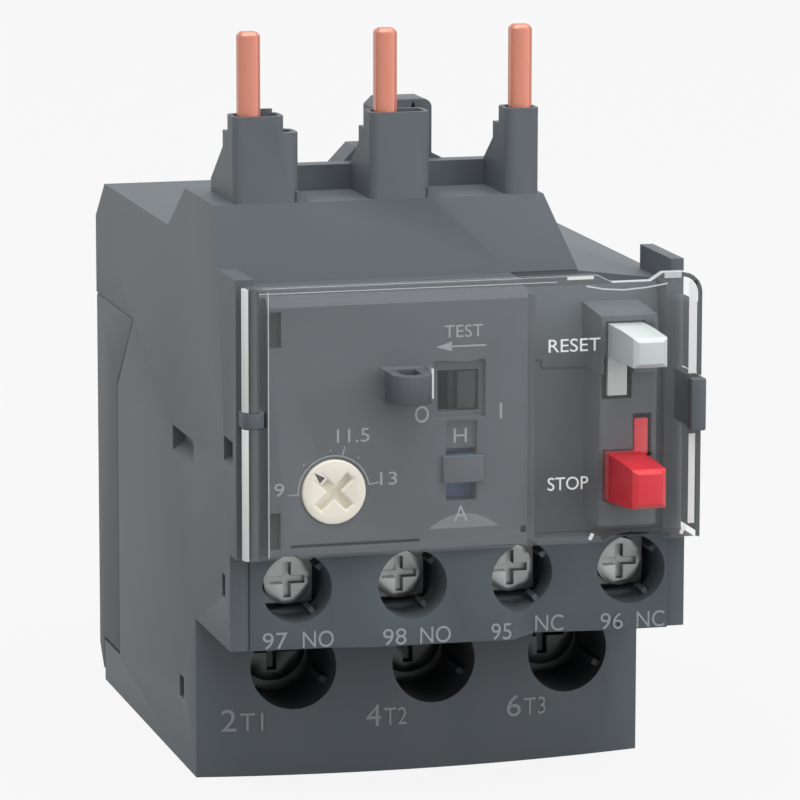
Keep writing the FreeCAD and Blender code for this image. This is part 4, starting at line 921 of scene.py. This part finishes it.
@dataclass
class ClearCover:
    """Hinged clear cover with its latch and its printed words."""

    sheet_edge: float = 0.15
    latch_edge: float = 0.2
    face: float = back(-19.6)
    barrel_right: float = -20.15
    barrel_lit: float = -21.82    # the hinge barrel gets a painted highlight to the left of this
    window_side: float = -4.2     # right side of the window round the boss
    window_reach: float = 0.3
    top: float = 50.4             # above this the sheet's upward edges get a painted highlight
    lip: float = 21.25
    turned: float = 0.3           # a normal's part that shows which way an edge looks
    level: float = 0.95           # the same for the sheet's flat faces
    upward: float = 0.2
    finishes: tuple[Finish, ...] = (CLEAR, CLEAR_SIDE, CLEAR_EDGE_HIGHLIGHT, CLEAR_THIN_HIGHLIGHT, CLEAR_GREY_SHADE)
    edges: tuple[EdgeLines, ...] = (
        EdgeLines("cover_painted_highlights", CLEAR_EDGE_HIGHLIGHT, (
            (0.8, ((21.48, 41.5), (21.48, 50.4))), (0.65, ((21.5, 27.0), (21.5, 35.7))),
            (0.35, ((11.4, 25.9), (11.7, 26.5))), (0.35, ((20.5, 26.0), (20.85, 26.8))),
            (0.3, ((9.0, 51.1), (11.6, 51.1))), (0.24, ((-4.1, 40.25), (-4.1, 43.1))))),
        EdgeLines("cover_thin_painted_highlights", CLEAR_THIN_HIGHLIGHT, (
            (0.07, ((-20.8, 50.8), (8.0, 50.8))), (0.08, ((-19.92, 25.8), (-19.92, 51.0))),
            (0.14, ((10.9, 50.3), (12.6, 49.95), (14.6, 49.8), (16.8, 49.95), (18.9, 50.25))),
            (0.5, ((18.6, 51.0), (20.3, 51.0))))),
        EdgeLines("cover_edge_grey_shade", CLEAR_GREY_SHADE, (
            (0.42, ((22.17, 25.7), (22.17, 36.0))), (0.42, ((22.17, 41.35), (22.17, 49.2))),
            (0.42, rounded_corner((20.3, 49.2), 1.87)))),
        EdgeLines("cover_low_dark_shade", CLEAR_DARK_SHADE, (
            (0.4, ((12.6, 25.9), (13.6, 26.4), (15.2, 26.65), (16.9, 26.6), (18.4, 26.2),
                   (19.4, 25.9))),)))
    # Text, left edge, lower edge, width and height.
    words: tuple[tuple[str, float, float, float, float], ...] = (
        ("RESET", 7.2, 44.1, 5.1, 1.25), ("STOP", 7.2, 30.85, 4.0, 1.25))

    def edge_finish(self, centre: Vector, normal: Vector) -> Finish:
        """Choose a face's finish by which edge of the sheet it belongs to; edges get painted
        highlights and painted shade.

        Args:
            centre: the face's middle, in millimetres.
            normal: the way it looks.

        Returns:
            One of the cover's finishes.
        """
        # Painted highlights and painted shade stand for how the clear sheet's edges catch the
        # light.
        if centre.x < self.barrel_right:
            lit = centre.x < self.barrel_lit and normal.y < self.turned
            return CLEAR_EDGE_HIGHLIGHT if lit else CLEAR_SIDE
        if abs(normal.y) > self.level:
            return CLEAR
        if centre.z > self.top and normal.z > self.upward:
            return CLEAR_THIN_HIGHLIGHT
        if centre.x > self.lip:
            return CLEAR_GREY_SHADE if normal.x > self.turned else CLEAR_SIDE
        if normal.x < -self.turned and abs(centre.x - self.window_side) < self.window_reach:
            return CLEAR_EDGE_HIGHLIGHT
        return CLEAR_SIDE

    def edge_lines(self) -> None:
        """Painted highlights and painted shade in lines along the sheet's thick edges."""
        for edge in self.edges:
            shape = bmesh.new()
            for width, line in edge.lines:
                strip(shape, line, width, self.face)
            add_to(finish_mesh(edge.name, shape, edge.finish), "cover")

    def build(self) -> None:
        """Dress the cover, its latch and its pin."""
        piece = softened("clear_cover", "clear_cover_sheet", CLEAR, self.sheet_edge)
        piece.data.materials.clear()
        for finish in self.finishes:
            piece.data.materials.append(finish.material())
        for polygon in piece.data.polygons:
            finish = self.edge_finish(polygon.center / MM, polygon.normal)
            polygon.material_index = self.finishes.index(finish)
        self.edge_lines()
        stand_for(piece, "clear_cover", "cover")
        latch = softened("cover_latch", "latch_clip", LATCH, self.latch_edge)
        stand_for(latch, "cover_latch", "cover")
        dress(DULL_NICKEL, "cover_hinge_pin")
        words = [Word(text, left, low, width, height, self.face - Lettering.THICK)
                 for text, left, low, width, height in self.words]
        Lettering().draw("cover_marks", words, INK_WHITE, "cover")


@dataclass
class LinePins:
    """Copper pins to the contactor, and the heated strips behind them."""

    edge: float = 0.12

    def build(self) -> None:
        """Dress the current path of each pole."""
        for side in ("left", "middle", "right"):
            pin = softened("line_pin_" + side, "copper_pin_" + side, COPPER, self.edge)
            stand_for(pin, "line_pin_" + side, "housing")
            dress(BIMETAL, "bimetal_strip_" + side)
            dress(SLEEVE, "heater_sleeve_" + side)
            dress(HEATER, "heater_winding_" + side)
            dress(TINNED, "terminal_bar_" + side)


@dataclass
class TripTrain:
    """Slides, lever and contacts inside."""

    nodes: dict[Finish, tuple[str, ...]] = field(default_factory=lambda: {
        FIBRE: ("main_slide", "differential_slide"), SPRING: ("lever_pin",),
        INNER: ("trip_lever",), BIMETAL: ("compensation_strip",), ACETAL: ("contact_carrier",),
        SILVERED: ("open_bridge", "closed_bridge")})

    def build(self) -> None:
        """Dress each piece of the train."""
        for finish, nodes in self.nodes.items():
            dress(finish, *nodes)


# ---------------------------------------------------------------------------
# Studio
# ---------------------------------------------------------------------------
@dataclass(frozen=True)
class Lamp:
    """A square soft lamp: its place and side in metres, and its power in watts."""

    name: str
    place: Point
    side: float
    watts: float


@dataclass
class Studio:
    """Pale floor, soft light and the camera."""

    lens_mm: float = 231.6
    sensor_mm: float = 36.0
    camera_at: Point = (-0.13176, -0.48564, 0.12698)
    yaw: float = 15.251
    pitch: float = 10.383
    roll: float = -0.075
    nearest: float = 0.01
    farthest: float = 50.0
    floor_half: float = 4.0
    floor_paper: Finish = Finish("floor_paper", "8C8C8C", 0.9, Surface.GLOSSY)
    floor_glow: float = 0.9
    sky_light: float = 0.73
    aim: Point = (0.0, 0.0, 0.035)
    lamps: tuple[Lamp, ...] = (Lamp("top_light", (0.0, -0.2, 1.0), 0.8, 7.5),
                               Lamp("front_light", (0.7, -1.0, 0.3), 0.8, 3.9))

    @staticmethod
    def seen_directly(tree: bpy.types.NodeTree) -> bpy.types.NodeSocket:
        """Tell where the backdrop is looked at, straight or in metal and glass.

        Args:
            tree: the tree that the nodes go into.

        Returns:
            A value that is 1 there and 0 for the rays that only light the relay.
        """
        path = add_node(tree, "ShaderNodeLightPath")
        mirrored = add_node(tree, "ShaderNodeMath", {"operation": "MAXIMUM"}, {
            0: path.outputs["Is Glossy Ray"], 1: path.outputs["Is Transmission Ray"]})
        return add_node(tree, "ShaderNodeMath", {"operation": "MAXIMUM"}, {
            0: path.outputs["Is Camera Ray"], 1: mirrored.outputs[0]}).outputs[0]

    def floor(self) -> None:
        """Large pale floor that keeps the relay's shadow."""
        shape = bmesh.new()
        bmesh.ops.create_grid(shape, x_segments=1, y_segments=1, size=self.floor_half)
        piece = finish_mesh("floor", shape, self.floor_paper)
        tree = piece.data.materials[0].node_tree
        seen = add_node(tree, "ShaderNodeMath", {"operation": "MULTIPLY"}, {
            0: self.seen_directly(tree), 1: self.floor_glow})
        glow = add_node(tree, "ShaderNodeEmission", inputs={
            "Color": PURE_WHITE, "Strength": 1.0})
        mixed = add_node(tree, "ShaderNodeMixShader", inputs={
            0: seen.outputs[0], 1: tree.nodes["Principled BSDF"].outputs[0], 2: glow.outputs[0]})
        tree.links.new(mixed.outputs[0], tree.nodes["Material Output"].inputs["Surface"])

    def sky(self) -> None:
        """Even white surroundings; the camera sees them as white."""
        world = bpy.data.worlds.new("studio")
        bpy.context.scene.world = world
        world.use_nodes = True
        tree = world.node_tree
        plain = tree.nodes["Background"]
        plain.inputs["Color"].default_value = PURE_WHITE
        plain.inputs["Strength"].default_value = self.sky_light
        white = add_node(tree, "ShaderNodeBackground", inputs={
            "Color": PURE_WHITE, "Strength": 1.0})
        mixed = add_node(tree, "ShaderNodeMixShader", inputs={
            0: self.seen_directly(tree), 1: plain.outputs[0], 2: white.outputs[0]})
        tree.links.new(mixed.outputs[0], tree.nodes["World Output"].inputs["Surface"])

    def light(self, lamp: Lamp) -> None:
        """Add a lamp that faces the relay.

        Args:
            lamp: the lamp.
        """
        data = bpy.data.lights.new(lamp.name, "AREA")
        data.shape = "SQUARE"
        data.size = lamp.side
        data.energy = lamp.watts
        made = bpy.data.objects.new(lamp.name, data)
        made.location = lamp.place
        way = Vector(self.aim) - Vector(lamp.place)
        made.rotation_euler = way.to_track_quat("-Z", "Y").to_euler()
        bpy.context.scene.collection.objects.link(made)

    def camera(self) -> None:
        """Long lens, a little above and to the left."""
        data = bpy.data.cameras.new("camera")
        data.lens = self.lens_mm
        data.sensor_width = self.sensor_mm
        data.clip_start = self.nearest
        data.clip_end = self.farthest
        made = bpy.data.objects.new("camera", data)
        turn = (Matrix.Rotation(math.radians(-self.yaw), 4, "Z")
                @ Matrix.Rotation(math.radians(90 - self.pitch), 4, "X")
                @ Matrix.Rotation(math.radians(-self.roll), 4, "Z"))
        made.matrix_world = Matrix.Translation(self.camera_at) @ turn
        bpy.context.scene.collection.objects.link(made)
        bpy.context.scene.camera = made

    def build(self) -> None:
        """Set the stage."""
        bpy.context.scene.view_settings.view_transform = "Standard"
        self.floor()
        self.sky()
        for lamp in self.lamps:
            self.light(lamp)
        self.camera()


def main() -> None:
    """Build every sub-assembly in order."""
    logging.basicConfig(level=logging.INFO, format="%(name)s: %(message)s")
    for part in (Housing(), PowerTerminals(), ControlTerminals(), DialPlate(), Buttons(),
                 ClearCover(), LinePins(), TripTrain(), Studio()):
        part.build()
        LOG.info("%s done", type(part).__name__)


if __name__ == "__main__":
    main()
